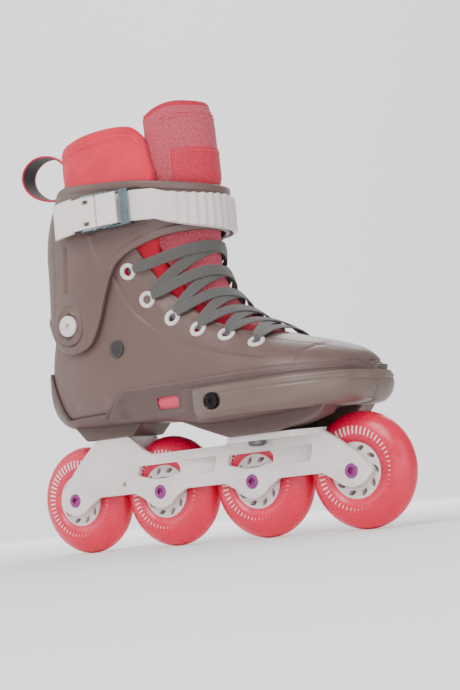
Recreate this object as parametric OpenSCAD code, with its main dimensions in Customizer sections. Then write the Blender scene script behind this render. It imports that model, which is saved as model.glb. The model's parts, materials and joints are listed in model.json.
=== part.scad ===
// Inline skate for the right foot: hard boot, hinged cuff, four-wheel frame.
// Millimetres. +X towards the toe, +Y towards the inner side of the foot, +Z up.
// Origin: on the ground, in the middle of the wheelbase, in the frame's middle plane.

/* [Wheels] */
// Outside diameter of a wheel
wheel_d = 80; // [78:0.5:80]
// Width of a wheel and of its core across both bearings
wheel_w = 24; // [24:0.5:24.5]
// Distance from one axle to the next
wheel_pitch = 81; // [81:0.5:82]
// Outside diameter of a wheel's core
core_d = 38.4; // [37:0.2:39]
// Number of leaf-shaped slots through a core
core_slots = 10; // [8:1:10]

/* [Bearings and axles] */
// Outside diameter of a bearing
bearing_d = 22; // [22:22]
// Width of a bearing
bearing_w = 7; // [7:7]
// Diameter of an axle
axle_d = 8; // [7.9:0.05:8]
// Diameter of an axle head
axle_head_d = 9.8; // [9:0.2:10]
// Balls in one bearing
balls = 7; // [6:1:7]

/* [Frame] */
// Half the frame's width over its side walls
wall_y = 17; // [17:0.5:18]
// Thickness of a side wall
wall_t = 3.8; // [3.4:0.2:3.8]
// Height of the front mounting flanges' top
front_deck_z = 71.6; // [71:0.2:71.6]
// Height of the rear mounting deck's top
rear_deck_z = 82.5; // [82:0.5:82.5]

/* [Boot] */
// Thickness of the upper shell
shell_t = 3.2; // [2.8:0.2:3.4]
// Thickness of the chassis that wraps the shell's lower edge
chassis_t = 2.8; // [2.4:0.2:2.8]
// How far the sliders stand out from the shell
slider_out = 5.8; // [5:0.2:6]
// Thickness of the liner
liner_t = 6; // [5:0.5:6]
// Points round each ring of the boot
ring_n = 36; // [24:4:40]

/* [Cuff] */
// Gap between shell and cuff
cuff_gap = 1.5; // [1.4:0.1:1.8]
// How far the cuff's outside stands out from the shell
cuff_out = 5; // [4.6:0.2:5.2]
// Place of the cuff's pivot along X
pivot_x = -91; // [-92:1:-90]
// Height of the cuff's pivot
pivot_z = 167; // [166:1:168]
// Diameter of the pivot bolt's shoulder
pivot_d = 10; // [9:0.5:10]

/* [Buckle] */
// Length of the buckle's lever
lever_l = 43; // [40:1:44]
// Half the height of the closure strap at the buckle
strap_h = 11; // [10:0.5:11]

/* [Hidden] */
$fn = 48;

// Places of the four axles, from the rear wheel to the front one
wheel_r = wheel_d / 2;
axle_x = [for (i = [0:3]) (i - 1.5) * wheel_pitch];
// Bearing ring diameters: bore, inner ring, outer ring's inside
ring_bore = axle_d + 0.06;
ring_in = 12.2;
ring_out = 18;
ball_d = 3.9;
ball_track = (ring_in + ring_out) / 4;

// The boot is a row of rings, each in a plane square to the middle plane. A ring runs from
// its front or top point A to its sole or back point B. Columns: A's x and z, B's x and z,
// half width, shift in y, place of the widest line from A to B, squareness at A and at B.
boot_rings = [
  [130.5, 112, 130.5, 101, 11, 4, 0.5, 2.0, 2.0],
  [130, 117, 130, 94, 21, 4, 0.5, 2.2, 2.8],
  [127, 121.5, 127, 91, 29, 3.5, 0.55, 2.3, 3.8],
  [120, 126, 120, 89.5, 35.5, 2.5, 0.6, 2.3, 5],
  [109.5, 130, 109.5, 88, 40.5, 1.5, 0.6, 2.3, 6],
  [96, 134, 94, 86.5, 45, 0.5, 0.62, 2.3, 7],
  [80, 138.5, 74, 85.5, 47.5, 0, 0.62, 2.3, 7],
  [63, 145, 48, 84.5, 47, 0, 0.6, 2.2, 7],
  [48, 152.5, 17, 85.5, 44.5, 0, 0.55, 2.2, 7],
  [36, 162, -20, 91, 41.5, 0, 0.5, 2.2, 6],
  [27, 173, -60, 93.5, 39, 0, 0.5, 2.2, 5],
  [21.5, 184, -97, 93.5, 37.5, 0, 0.5, 2.2, 3.6],
  [18.5, 194, -124, 97, 36.5, 0, 0.5, 2.2, 2.8],
  [17, 204, -137, 111, 36.5, 0, 0.5, 2.2, 2.3],
  [17.5, 215, -137.5, 136, 37.5, 0, 0.5, 2.2, 2.2],
  [19.5, 228, -131, 164, 39.5, 0, 0.5, 2.2, 2.2],
  [20.5, 240, -127, 196, 42.5, 0, 0.5, 2.2, 2.2],
  [21, 250, -124, 230, 45, 0, 0.5, 2.2, 2.2],
  [20, 259, -114, 257, 46, 0, 0.5, 2.2, 2.2],
  [18, 268, -104, 274, 44, 0, 0.5, 2.2, 2.2],
  [14, 284, -107, 290, 41, 0, 0.5, 2.2, 2.2],
  [10, 304, -104, 312, 38, 0, 0.5, 2.2, 2.2]];
last_ring = len(boot_rings) - 1;

// One row of the table at a fractional place u, on a smooth curve through the rows
function ring_row(u) = let (
    i = min(floor(u), last_ring - 1), t = u - i,
    p0 = boot_rings[max(i - 1, 0)], p1 = boot_rings[i], p2 = boot_rings[i + 1],
    p3 = boot_rings[min(i + 2, last_ring)])
  0.5 * (2 * p1 + (p2 - p0) * t + (2 * p0 - 5 * p1 + 4 * p2 - p3) * t * t
    + (3 * p1 - p0 - 3 * p2 + p3) * t * t * t);

// How much of the growth goes forwards: all of it at the toe's tip, none past the toe cap
function toe_share(u) = pow(max(0, 1 - u / 4), 1.5);

// A point of the boot at place u and angle a, grown outwards by g. The angle is 0 at A,
// 90 on the outer side of the foot, 180 at B and 270 on the inner side.
function boot_point(u, a, g) = let (
    r = ring_row(u), A = [r[0], 0, r[1]], B = [r[2], 0, r[3]], L = norm(B - A),
    d = (B - A) / L, c = cos(a), s = sin(a), e = c > 0 ? 2 / r[7] : 2 / r[8],
    along = c > 0 ? r[6] * (1 - pow(c, e)) : r[6] + (1 - r[6]) * pow(-c, e))
  A - d * g + d * (L + 2 * g) * along
    + [g * toe_share(u), r[5] - (r[4] + g) * sign(s) * pow(abs(s), e), 0];

// Outward normal of the boot at place u and angle a
function boot_normal(u, a) = let (
    along_u = boot_point(u + 0.05, a, 0) - boot_point(u - 0.05, a, 0),
    along_a = boot_point(u, a + 1, 0) - boot_point(u, a - 1, 0),
    n = cross(along_u, along_a))
  n / norm(n);

// A closed solid through rings of equal length
module loft(rings) {
  m = len(rings) - 1;
  n = len(rings[0]);
  polyhedron(
    points = [for (r = rings) each r],
    faces = concat(
      [[for (k = [n - 1:-1:0]) k]],
      [[for (k = [0:n - 1]) m * n + k]],
      [for (i = [0:m - 1]) for (k = [0:n - 1])
        let (a = i * n + k, b = i * n + (k + 1) % n) each [[a, b, a + n], [b, b + n, a + n]]]));
}

// A wall between an outer and an inner grid of points, of equal size. A row whose two ends
// meet closes round. With a plate, the first row is closed by a plate and not by a rim.
module wall(outer, inner, plate = false) {
  m = len(outer) - 1;
  n = len(outer[0]) - 1;
  far = (m + 1) * (n + 1);
  function meets(i) = norm(outer[i][0] - outer[i][n]) < 0.01;
  function at(i, k) = i * (n + 1) + (k == n && meets(i) ? 0 : k);
  function quad(a, b, c, d) = [[a, b, c], [a, c, d]];
  first = meets(0) ? n - 1 : n;
  polyhedron(
    points = concat([for (r = outer) each r], [for (r = inner) each r]),
    faces = concat(
      [for (i = [0:m - 1]) for (k = [0:n - 1])
        let (a = at(i, k), b = at(i, k + 1), c = at(i + 1, k), d = at(i + 1, k + 1))
          each [[a, b, c], [b, d, c], [far + a, far + c, far + b], [far + b, far + c, far + d]]],
      [for (i = [0:m - 1]) if (!(meets(i) && meets(i + 1))) let (a = at(i, 0), c = at(i + 1, 0),
          b = at(i, n), d = at(i + 1, n))
          each concat(quad(a, c, far + c, far + a), quad(d, b, far + b, far + d))],
      [for (k = [0:n - 1]) let (c = at(m, k), d = at(m, k + 1)) each quad(c, d, far + d, far + c)],
      plate
        ? concat([[for (k = [first:-1:0]) k]], [[for (k = [0:first]) far + k]],
            meets(0) ? [] : quad(n, 0, far, far + n))
        : [for (k = [0:n - 1]) let (a = at(0, k), b = at(0, k + 1)) each quad(b, a, far + a, far + b)]));
}

// One row of the boot at place u, from angle a0 to a1
function boot_row(u, a0, a1, g, n) = [for (k = [0:n]) boot_point(u, a0 + (a1 - a0) * k / n, g)];

// The angle at place u where the boot's side, grown by g, comes down to an edge in side view
function edge_angle(u, g, edge, lo = 0, hi = 180, steps = 16) = let (
    mid = (lo + hi) / 2, p = boot_point(u, steps == 16 ? 0 : mid, g), above = p[2] > lookup(p[0], edge))
  steps == 16 ? (above ? edge_angle(u, g, edge, 0, 180, 15) : 0)
  : steps == 0 ? mid
  : above ? edge_angle(u, g, edge, mid, hi, steps - 1) : edge_angle(u, g, edge, lo, mid, steps - 1);

// The place along angle a where the boot, grown by g, rises through an edge in side view
function edge_place(a, g, edge, lo = 12, hi = 20.9, steps = 14) = let (
    mid = (lo + hi) / 2, p = boot_point(mid, a, g))
  steps == 0 ? mid
  : p[2] > lookup(p[0], edge) ? edge_place(a, g, edge, lo, mid, steps - 1)
  : edge_place(a, g, edge, mid, hi, steps - 1);

// The boot's form from place u0 to u1, in steps, grown outwards by g
module boot_form(g, u0, u1, steps) {
  loft([for (i = [0:steps]) [for (k = [0:ring_n - 1])
    boot_point(u0 + (u1 - u0) * i / steps, 360 * k / ring_n, g)]]);
}

// A wall of the boot from place u0 to u1 under an edge: open above it, closed at the toe
module boot_wall(edge, u0, u1, steps, g_in, g_out, n, deep = 0) {
  us = [for (i = [0:steps]) u0 + (u1 - u0) * i / steps];
  angles = [for (u = us) edge_angle(u, 0, edge)];
  wall([for (i = [0:steps]) boot_row(us[i], angles[i], 360 - angles[i], g_out, n)],
    [for (i = [0:steps]) boot_row(max(us[i], deep * (1 - i / steps)), angles[i], 360 - angles[i], g_in, n)],
    plate = true);
}

// An outline in side view [x, z], extruded from y0 to y1
module side_prism(points, y0, y1) {
  translate([0, y1, 0])
    rotate([90, 0, 0])
      linear_extrude(y1 - y0)
        polygon(points);
}

// Turn +Z towards the direction n
module aim(n) {
  rotate([0, acos(n[2]), atan2(n[1], n[0])]) children();
}

// A cylinder along Y from y0 to y1
module rod_y(x, z, d, y0, y1) {
  translate([x, y1, z])
    rotate([90, 0, 0])
      cylinder(d = d, h = y1 - y0);
}

// Rounds both the inner and the outer corners of an outline
module soften(r) {
  offset(r = -r) offset(r = 2 * r) offset(r = -r) children();
}

// ---- Boot ----

// The opening over the instep, in side view: its lower edge carries the eyelets
throat_edge = [[86, 139], [62, 141], [40, 149], [14, 162], [2, 170], [-10, 183], [-21, 201], [-27, 216]];
// The seam where the chassis meets the shell, from the heel to the toe
seam = [[-133, 137], [-114, 98], [-69, 98], [-53, 111.5], [68, 111], [104, 110.5], [150, 110.5]];
// Eyelets: place and angle on the boot, from the ankle to the toe
eyelets = [[14.65, 75], [12.8, 64], [10.7, 59.5], [9.25, 56.5], [8.05, 46], [6.65, 42.5]];
eyelet_d = 12.4;
eyelet_hole_d = 6.2;
window = [-17, 96.5, 4, 105.5];
badge = [11.96, 90];
slot_x = 37;
slot_z = 97;
// Where the shell and the foot of the liner end at the ankle
shell_top = 15.35;
liner_top = 15;

function shifted(edge, d) = [for (p = edge) p + [d, d]];

module eyelet_cutters(side) {
  for (e = eyelets) {
    p = boot_point(e[0], side * e[1], 0);
    n = boot_normal(e[0], side * e[1]);
    translate(p - 6 * n) aim(n) cylinder(d = eyelet_hole_d + 1.6, h = 12);
  }
}

module upper_shell() {
  color([0.45, 0.41, 0.38])
    difference() {
      union() {
        boot_wall(throat_edge, 0, shell_top, 31, -shell_t, 0, 24);
        for (s = [-1, 1]) {
          rod_y(pivot_x, pivot_z, 18, s > 0 ? 31 : -35.6, s > 0 ? 35.6 : -31);
        }
      }
      eyelet_cutters(1);
      eyelet_cutters(-1);
      rod_y(pivot_x, pivot_z, 8, -40, 40);
      for (s = [-1, 1]) {
        rod_y(pivot_x, pivot_z, 13.4, s > 0 ? 20 : -31, s > 0 ? 31 : -20);
        rod_y(pivot_x, pivot_z, 20, s > 0 ? 35.6 : -45, s > 0 ? 45 : -35.6);
        rod_y(slot_x, slot_z, 5, s > 0 ? 30 : -52, s > 0 ? 52 : -30);
        translate([window[0] - 3, s > 0 ? 30 : -50, window[1] - 1])
          cube([window[2] - window[0] + 6, 20, window[3] - window[1] + 3]);
      }
    }
}

module lower_chassis() {
  color([0.44, 0.40, 0.37])
    difference() {
      union() {
        boot_wall(seam, 0, 13.95, 34, 1.35, chassis_t, 22);
        for (s = [-1, 1]) {
          side_prism([[-8, 87.6], [35, front_deck_z], [75, front_deck_z], [94, 75], [112, 80],
            [119, 88], [109, 86.6], [94, 85.1], [74, 84.1], [48, 83.1], [17, 84.1]],
            s > 0 ? 14.5 : -34, s > 0 ? 34 : -14.5);
        }
        side_prism([[-116, 94.4], [-104, rear_deck_z], [-60, rear_deck_z], [-53, 89], [-50, 91.6],
          [-97, 92.1]], -19, 19);
      }
      translate([window[0], -60, window[1]])
        cube([window[2] - window[0], 120, window[3] - window[1]]);
      frame_bolt_holes(8.1);
      for (s = [-1, 1]) {
        rod_y(slot_x, slot_z, 5, s > 0 ? 30 : -60, s > 0 ? 60 : -30);
      }
    }
}

// Sacrificial slider along the chassis: the two of them meet at the toe
slider_top = [[-200, 105.5], [72, 106], [200, 106.5]];
module slider(side) {
  color([0.47, 0.43, 0.40])
    difference() {
      boot_wall(slider_top, 0, 8.4, 16, chassis_t + 0.4, slider_out, 22);
      translate([-100, -100, 0]) cube([300, 200, 89]);
      translate([-100, -100, 0]) cube([120, 200, 200]);
      translate([0, side < 0 ? 3.9 : -95.9, 80]) cube([200, 100, 60]);
      for (dx = [-4, 3]) {
        rod_y(slot_x + dx, slot_z, 12, side < 0 ? -60 : 30, side < 0 ? -30 : 60);
      }
      translate([slot_x - 4, side < 0 ? -60 : 30, slot_z - 6]) cube([7, 30, 12]);
    }
}
module lateral_slider() { slider(-1); }
module medial_slider() { slider(1); }

module slider_screws() {
  color([0.13, 0.13, 0.14])
    for (s = [-1, 1]) {
      difference() {
        union() {
          rod_y(slot_x, slot_z, 10, s > 0 ? 49.4 : -51.4, s > 0 ? 51.4 : -49.4);
          rod_y(slot_x, slot_z, 4.9, s > 0 ? 43.6 : -49.4, s > 0 ? 49.4 : -43.6);
        }
        translate([slot_x, s * 50.2, slot_z])
          rotate([-90 * s, 0, 0])
            cylinder(d = 5, h = 4, $fn = 6);
      }
    }
}

module shock_absorber() {
  us = [for (i = [0:8]) 8 + 2.2 * i / 8];
  low = [[-200, window[1]], [200, window[1]]];
  high = [[-200, window[3]], [200, window[3]]];
  color([0.93, 0.24, 0.38])
    intersection() {
      for (s = [-1, 1]) {
        wall([for (u = us) boot_row(u, s * edge_angle(u, 0, s < 0 ? low : high),
            s * edge_angle(u, 0, s < 0 ? high : low), -0.3, 4)],
          [for (u = us) boot_row(u, s * edge_angle(u, 0, s < 0 ? low : high),
            s * edge_angle(u, 0, s < 0 ? high : low), -shell_t + 0.2, 4)]);
      }
      translate([window[0] - 2.9, -60, 0]) cube([window[2] - window[0] + 5.8, 120, 200]);
    }
}

module footbed() {
  g = -shell_t - liner_t - 1.9;
  color([0.18, 0.18, 0.19])
    difference() {
      boot_form(g, 3.4, 12, 18);
      side_prism([[-160, 112], [-100, 108.5], [-60, 108.5], [-20, 106], [17, 100.5], [48, 99.5],
        [80, 100.5], [100, 102], [160, 104], [160, 300], [-160, 300]], -70, 70);
    }
}

// Liner: its foot lies in the shell, its collar moves with the cuff. Both are one sewn boot.
module liner_foot() {
  g = -shell_t - 0.9;
  color([0.90, 0.28, 0.40])
    difference() {
      boot_wall(shifted(throat_edge, 6), 0, liner_top, 26, g - liner_t, g, 20, deep = 1.5);
      rod_y(pivot_x, pivot_z, 20, -40, -27);
      rod_y(pivot_x, pivot_z, 20, 27, 40);
    }
}

module tongue_lower() {
  us = [for (i = [0:16]) 8.3 + 4.5 * i / 16];
  angles = [for (u = us) max(2, edge_angle(u, -3, shifted(throat_edge, 8)) - 10)];
  color([0.80, 0.45, 0.50])
    wall([for (i = [0:16]) boot_row(us[i], -angles[i], angles[i], -0.6, 10)],
      [for (i = [0:16]) boot_row(us[i], -angles[i], angles[i], -7.6, 10)]);
}

module tongue_upper() {
  color([0.80, 0.45, 0.50])
    difference() {
      wall([for (z = [238:7:322]) tongue_row(z, 0, 70, 14)], [for (z = [238:7:322]) tongue_row(z, 7, 70, 14)]);
      side_prism([[-60, 296], [-24, 303], [-8, 315], [8, 319], [30, 316], [30, 340], [-60, 340]], -60, 60);
    }
}

// A curved pad in plan: part of an oval, 7 mm thick, 70 degrees to each side of the front
function tongue_front(z) = 23 - 2.8 * max(0, min(1, (264 - z) / 12)) - pow(max(z - 298, 0), 2) / 90;
function tongue_half(z) = 32 - max(z - 270, 0) * 0.06;
function tongue_row(z, d, turn, n) = [for (k = [0:n]) let (a = -turn + 2 * turn * k / n)
  [tongue_front(z) - 52 + (52 - d) * cos(a), -(tongue_half(z) - d) * sin(a), z]];

module tongue_patch() {
  color([0.90, 0.22, 0.38])
    wall([for (z = [242:8:282]) tongue_row(z, -1.3, 50, 10)], [for (z = [242:8:282]) tongue_row(z, -0.3, 50, 10)]);
}

// One flat strand over the tongue, from place u0 on the outer side to u1 on the inner side
lace_w = 8.5;
module strand(u0, a0, u1, a1, lift) {
  steps = 8;
  loft([for (i = [0:steps]) let (f = i / steps, u = u0 + (u1 - u0) * f, a = a0 + (a1 - a0) * f,
      du = 0.1 * lace_w / 2 / norm(boot_point(u + 0.05, a, 0) - boot_point(u - 0.05, a, 0)),
      g = 2.3 + lift * sin(180 * f))
    [boot_point(u - du, a, g + 1.3), boot_point(u + du, a, g + 1.3), boot_point(u + du, a, g),
     boot_point(u - du, a, g)]]);
}

module lace() {
  color([0.40, 0.40, 0.38]) {
    for (i = [1:5]) {
      e = eyelets[i];
      up = eyelets[i - 1];
      strand(e[0], e[1] - 3, up[0], 6 - up[1], i == 1 ? 0.2 : 1.5);
      strand(up[0], up[1] - 6, e[0], 3 - e[1], i == 1 ? 0.2 : 1.5);
    }
    strand(eyelets[5][0], eyelets[5][1] - 3, eyelets[5][0], 3 - eyelets[5][1], 0.6);
  }
}

module eyelet_row(side) {
  color([0.92, 0.90, 0.89])
    for (e = eyelets) {
      p = boot_point(e[0], side * e[1], 0);
      n = boot_normal(e[0], side * e[1]);
      translate(p - 1 * n)
        aim(n)
          difference() {
            union() {
              translate([0, 0, 1.4]) cylinder(d = eyelet_d, h = 1.3);
              translate([0, 0, -1.7]) cylinder(d = eyelet_hole_d + 1.4, h = 3.6);
            }
            translate([0, 0, -3]) cylinder(d = eyelet_hole_d, h = 8);
          }
    }
}
module lateral_eyelets() { eyelet_row(1); }
module medial_eyelets() { eyelet_row(-1); }

module side_badge() {
  n = boot_normal(badge[0], badge[1]);
  color([0.20, 0.19, 0.19])
    translate(boot_point(badge[0], badge[1], 0.02))
      aim(n)
        difference() {
          cylinder(d = 12.5, h = 1.4);
          translate([0, 0, 0.9]) cylinder(d = 10, h = 1);
        }
}

// ---- Frame ----

// Half outline of the boss round an axle, below the window
function boss_below(x) = [[x + 23, 40.5], [x + 15.5, 36.5], [x + 8, 30.5], [x + 2.5, 28.4],
  [x - 2.5, 28.4], [x - 8, 30.5], [x - 15.5, 36.5], [x - 23, 40.5]];
frame_side = concat(
  [[-135.5, 38], [-134.5, 43], [-127, 53.5], [-115, 66], [-103, 76.5], [-95, rear_deck_z], [-65.5, rear_deck_z],
   [-52, 71], [-45, 67.5], [20, 67.5], [28, front_deck_z], [94, front_deck_z], [103, 69], [113, 62.5],
   [128, 51], [138.5, 40], [133, 33.5], [127, 30]],
  [[121.5, 29], [114, 31], [106, 36.5], [98.5, 40.5]],
  boss_below(axle_x[2]), boss_below(axle_x[1]),
  [[-98.5, 40.5], [-106, 36], [-114, 30.5], [-121, 28.4], [-128, 30], [-133, 34]]);
pocket_depth = 7.5;

function window_side(x) = [[x - 19.5, 53], [x - 17, 60], [x + 17.5, 60], [x + 20, 56.5], [x + 19.5, 52],
  [x + 8, 49.4], [x - 4, 49.2]];

// The room a turning wheel needs
module wheel_room(x) {
  translate([x, 0, wheel_r])
    rotate([90, 0, 0])
      rotate_extrude($fn = 72)
        polygon(concat([[0, -wheel_w / 2 - 1.2], [26, -wheel_w / 2 - 1.2]],
          [for (a = [-75:15:75]) [25.5 + 16.5 * cos(a), (wheel_w / 2 + 1.2) * sin(a)]],
          [[26, wheel_w / 2 + 1.2], [0, wheel_w / 2 + 1.2]]));
}

module frame_bolt_holes(d) {
  for (y = [-24, 24]) {
    translate([53, y, 60]) cylinder(d = d, h = 24);
  }
  translate([-81, 0, 70]) cylinder(d = d, h = 24);
}

module frame() {
  color([0.90, 0.88, 0.87])
    difference() {
      union() {
        difference() {
          union() {
            for (s = [-1, 1]) {
              translate([0, s > 0 ? wall_y : -wall_y + wall_t, 0])
                rotate([90, 0, 0])
                  linear_extrude(wall_t)
                    soften(2.5)
                      polygon(frame_side);
              for (x = [axle_x[1], axle_x[2]]) {
                side_prism([[x + 21, 46], [x + 21, 64], [x + 55, 64], [x + 55, 46]],
                  s > 0 ? 8.6 : -wall_y + wall_t, s > 0 ? wall_y - wall_t : -8.6);
              }
            }
            translate([0, 0, front_deck_z - 4.2])
              linear_extrude(4.2)
                soften(2)
                  polygon([[20, 13], [34, 31], [86, 31], [101, 15], [101, -15], [86, -31], [34, -31], [20, -13]]);
            side_prism([[-96, 74], [-96, rear_deck_z], [-65, rear_deck_z], [-65, 74]], -14, 14);
            side_prism([[-9, 58], [-9, 67.5], [9, 67.5], [9, 58]], -14, 14);
            side_prism([[70, 58], [70, 70], [92, 70], [92, 58]], -14, 14);
          }
          for (x = axle_x) {
            wheel_room(x);
          }
        }
        for (x = axle_x) for (s = [-1, 1]) {
          rod_y(x, wheel_r, 12, s > 0 ? wheel_w / 2 : -wall_y + 1, s > 0 ? wall_y - 1 : -wheel_w / 2);
        }
      }
      for (x = [axle_x[1], axle_x[2]]) {
        translate([0, 30, 0]) rotate([90, 0, 0]) linear_extrude(60) soften(1.5) polygon(window_side(x));
        for (s = [-1, 1]) {
          wall_pocket(x, s);
        }
      }
      for (x = axle_x) {
        rod_y(x, wheel_r, axle_d + 0.1, -wall_y - 1, wall_y + 1);
        rod_y(x, wheel_r, axle_head_d + 0.4, -wall_y - 1, -wall_y + 2.8);
        rod_y(x, wheel_r, axle_head_d + 0.4, wall_y - 2.8, wall_y + 1);
      }
      frame_bolt_holes(8.4);
      rod_y(-73, 48, 3.4, -wall_y - 1, -wall_y + 3);
    }
}

// A scoop in the wall between two wheels: deepest at its front end
module wall_pocket(x, s) {
  plan = [[x + 22.5, s * wall_y], [x + 22.5, s * (wall_y + 1)], [x + 52.5, s * (wall_y + 1)],
    [x + 50.5, s * (wall_y - pocket_depth)]];
  intersection() {
    translate([0, 0, 40]) linear_extrude(30) polygon(plan);
    side_prism([[x + 21, 49], [x + 21, 60.5], [x + 53, 61], [x + 49.5, 49.5]], -30, 30);
  }
}

module frame_bolts() {
  color([0.25, 0.25, 0.27]) {
    for (y = [-24, 24]) {
      bolt_up([53, y, front_deck_z - 4.2], 15.5);
    }
    bolt_up([-81, 0, 74], 18);
  }
}

// A button-head bolt that points up, with its head's top face at p
module bolt_up(p, shank) {
  translate(p)
    difference() {
      union() {
        translate([0, 0, -3.6]) cylinder(d1 = 9, d2 = 12.6, h = 1.4);
        translate([0, 0, -2.2]) cylinder(d = 12.6, h = 2.2);
        cylinder(d = 8, h = shank);
      }
      translate([0, 0, -4]) cylinder(d = 5.8, h = 3, $fn = 6);
    }
}

module axles() {
  color([0.72, 0.36, 0.62])
    for (x = axle_x) {
      difference() {
        union() {
          rod_y(x, wheel_r, axle_d, -wall_y + 2.8, wall_y - 2.85);
          rod_y(x, wheel_r, axle_head_d, -wall_y - 0.6, -wall_y + 2.8);
        }
        rod_y(x, wheel_r, 5, -2, wall_y);
        hex_socket(x, -1);
      }
    }
}

module axle_screws() {
  color([0.72, 0.36, 0.62])
    for (x = axle_x) {
      difference() {
        union() {
          rod_y(x, wheel_r, axle_head_d, wall_y - 2.8, wall_y + 0.6);
          rod_y(x, wheel_r, 4.9, 0, wall_y - 2.8);
        }
        hex_socket(x, 1);
      }
    }
}

module hex_socket(x, s) {
  translate([x, s * (wall_y - 2.6), wheel_r])
    rotate([-90 * s, 0, 0])
      cylinder(d = 5.4, h = 4, $fn = 6);
}

module bearing_spacers() {
  color([0.75, 0.76, 0.78])
    for (x = axle_x) {
      difference() {
        rod_y(x, wheel_r, 11, -wheel_w / 2 + bearing_w, wheel_w / 2 - bearing_w);
        rod_y(x, wheel_r, ring_bore, -10, 10);
      }
    }
}

// A ring of the bearing with the groove that the balls run in
module race(x, y0, r0, r1) {
  translate([x, y0 + bearing_w, wheel_r])
    rotate([90, 0, 0])
      difference() {
        rotate_extrude() translate([r0, 0]) square([r1 - r0, bearing_w]);
        rotate_extrude() translate([ball_track, bearing_w / 2]) circle(d = ball_d + 0.1, $fn = 24);
      }
}

module bearing_inner_rings() {
  color([0.78, 0.79, 0.80])
    for (x = axle_x) for (y0 = [-wheel_w / 2, wheel_w / 2 - bearing_w]) {
      race(x, y0, ring_bore / 2, ring_in / 2);
    }
}

// ---- Wheels ----

module tyre(i) {
  color([0.90, 0.20, 0.35])
    translate([axle_x[i], 0, wheel_r])
      rotate([90, 0, 0])
        rotate_extrude($fn = 72)
          polygon(concat([[core_d / 2, -wheel_w / 2 + 1]],
            [for (a = [-78:12:78]) [wheel_r - 16 + 16 * cos(a), wheel_w / 2 * sin(a)]],
            [[core_d / 2, wheel_w / 2 - 1]]));
}

module hub(i) {
  slot_r = (bearing_d / 2 + core_d / 2) / 2 + 0.4;
  color([0.90, 0.88, 0.87])
    translate([axle_x[i], 0, wheel_r])
      rotate([90, 0, 0])
        difference() {
          rotate_extrude()
            polygon([[9.2, -4.95], [bearing_d / 2, -4.95], [bearing_d / 2, -wheel_w / 2 + 0.2],
              [12.6, -wheel_w / 2 + 0.2], [13, -wheel_w / 2 + 1.2], [core_d / 2, -wheel_w / 2 + 1.2],
              [core_d / 2, wheel_w / 2 - 1.2], [13, wheel_w / 2 - 1.2], [12.6, wheel_w / 2 - 0.2],
              [bearing_d / 2, wheel_w / 2 - 0.2], [bearing_d / 2, 4.95], [9.2, 4.95]]);
          for (k = [0:core_slots - 1]) {
            rotate([0, 0, 360 * k / core_slots])
              translate([slot_r, 0, -20])
                rotate([0, 0, 35])
                  intersection() {
                    translate([-2.6, 0, 0]) cylinder(r = 4.2, h = 40);
                    translate([2.6, 0, 0]) cylinder(r = 4.2, h = 40);
                  }
          }
        }
}

module bearings(i) {
  color([0.70, 0.71, 0.73])
    for (s = [-1, 1]) {
      race(axle_x[i], s > 0 ? wheel_w / 2 - bearing_w : -wheel_w / 2, ring_out / 2, bearing_d / 2);
      difference() {
        rod_y(axle_x[i], wheel_r, ring_out, s > 0 ? 11.3 : -11.8, s > 0 ? 11.8 : -11.3);
        rod_y(axle_x[i], wheel_r, ring_in + 0.6, -20, 20);
      }
    }
}

module ball_set(i) {
  color([0.80, 0.81, 0.82])
    for (s = [-1, 1]) for (k = [0:balls - 1]) {
      translate([axle_x[i] + ball_track * cos(360 * k / balls), s * (wheel_w - bearing_w) / 2,
          wheel_r + ball_track * sin(360 * k / balls)])
        sphere(d = ball_d, $fn = 24);
    }
}

// ---- Cuff ----

// Lower and upper edge of the cuff in side view
cuff_low = [[-160, 182], [-127, 176], [-118, 167], [-111, 158], [-103, 150.5], [-92, 147.5], [-81, 148.5],
  [-72, 153], [-64, 164], [-56, 181], [-46, 201], [-36, 210.5], [-18, 217], [8, 223.5], [60, 224]];
cuff_high = [[-160, 272], [-86, 268.5], [-52, 264], [-17, 260], [17, 254.5], [60, 249]];
// The cuff's slit, at the front on the inner side, and how wide it is, in degrees
slit_a = -33;
slit_w = 2.6;

// A wall of the boot between two edges in side view, from angle a0 to a1
module boot_band(low, high, a0, a1, g_in, g_out, n, m) {
  angles = [for (k = [0:n]) a0 + (a1 - a0) * k / n];
  lows = [for (a = angles) edge_place(a, g_out, low)];
  highs = [for (a = angles) edge_place(a, g_out, high)];
  wall([for (i = [0:m]) [for (k = [0:n]) boot_point(lows[k] + (highs[k] - lows[k]) * i / m, angles[k], g_out)]],
    [for (i = [0:m]) [for (k = [0:n]) boot_point(lows[k] + (highs[k] - lows[k]) * i / m, angles[k], g_in)]]);
}

module pivot_oval(y0, y1) {
  for (dz = [-2.6, 2.6]) {
    rod_y(pivot_x, pivot_z + dz, 23.4, y0, y1);
  }
  side_prism([[pivot_x - 11.7, pivot_z - 2.6], [pivot_x + 11.7, pivot_z - 2.6],
    [pivot_x + 11.7, pivot_z + 2.6], [pivot_x - 11.7, pivot_z + 2.6]], y0, y1);
}

cover_in = 37.4;
cover_out = 42.5;

module cuff() {
  color([0.46, 0.42, 0.39])
    difference() {
      boot_band(cuff_low, cuff_high, slit_a + slit_w / 2, slit_a + 360 - slit_w / 2, cuff_gap, cuff_out, 56, 14);
      pivot_oval(-60, -cover_in);
      pivot_oval(cover_in, 60);
      rod_y(pivot_x, pivot_z, 19, -cover_in - 1, cover_in + 1);
      buckle_frame() {
        translate([-18.4, -12.9, -0.1]) cube([49, 25.8, 12]);
        for (x = rivet_x) {
          translate([x, 0, -8]) cylinder(d = 3.1, h = 9);
        }
      }
      strap_anchor_hole();
    }
}

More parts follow.
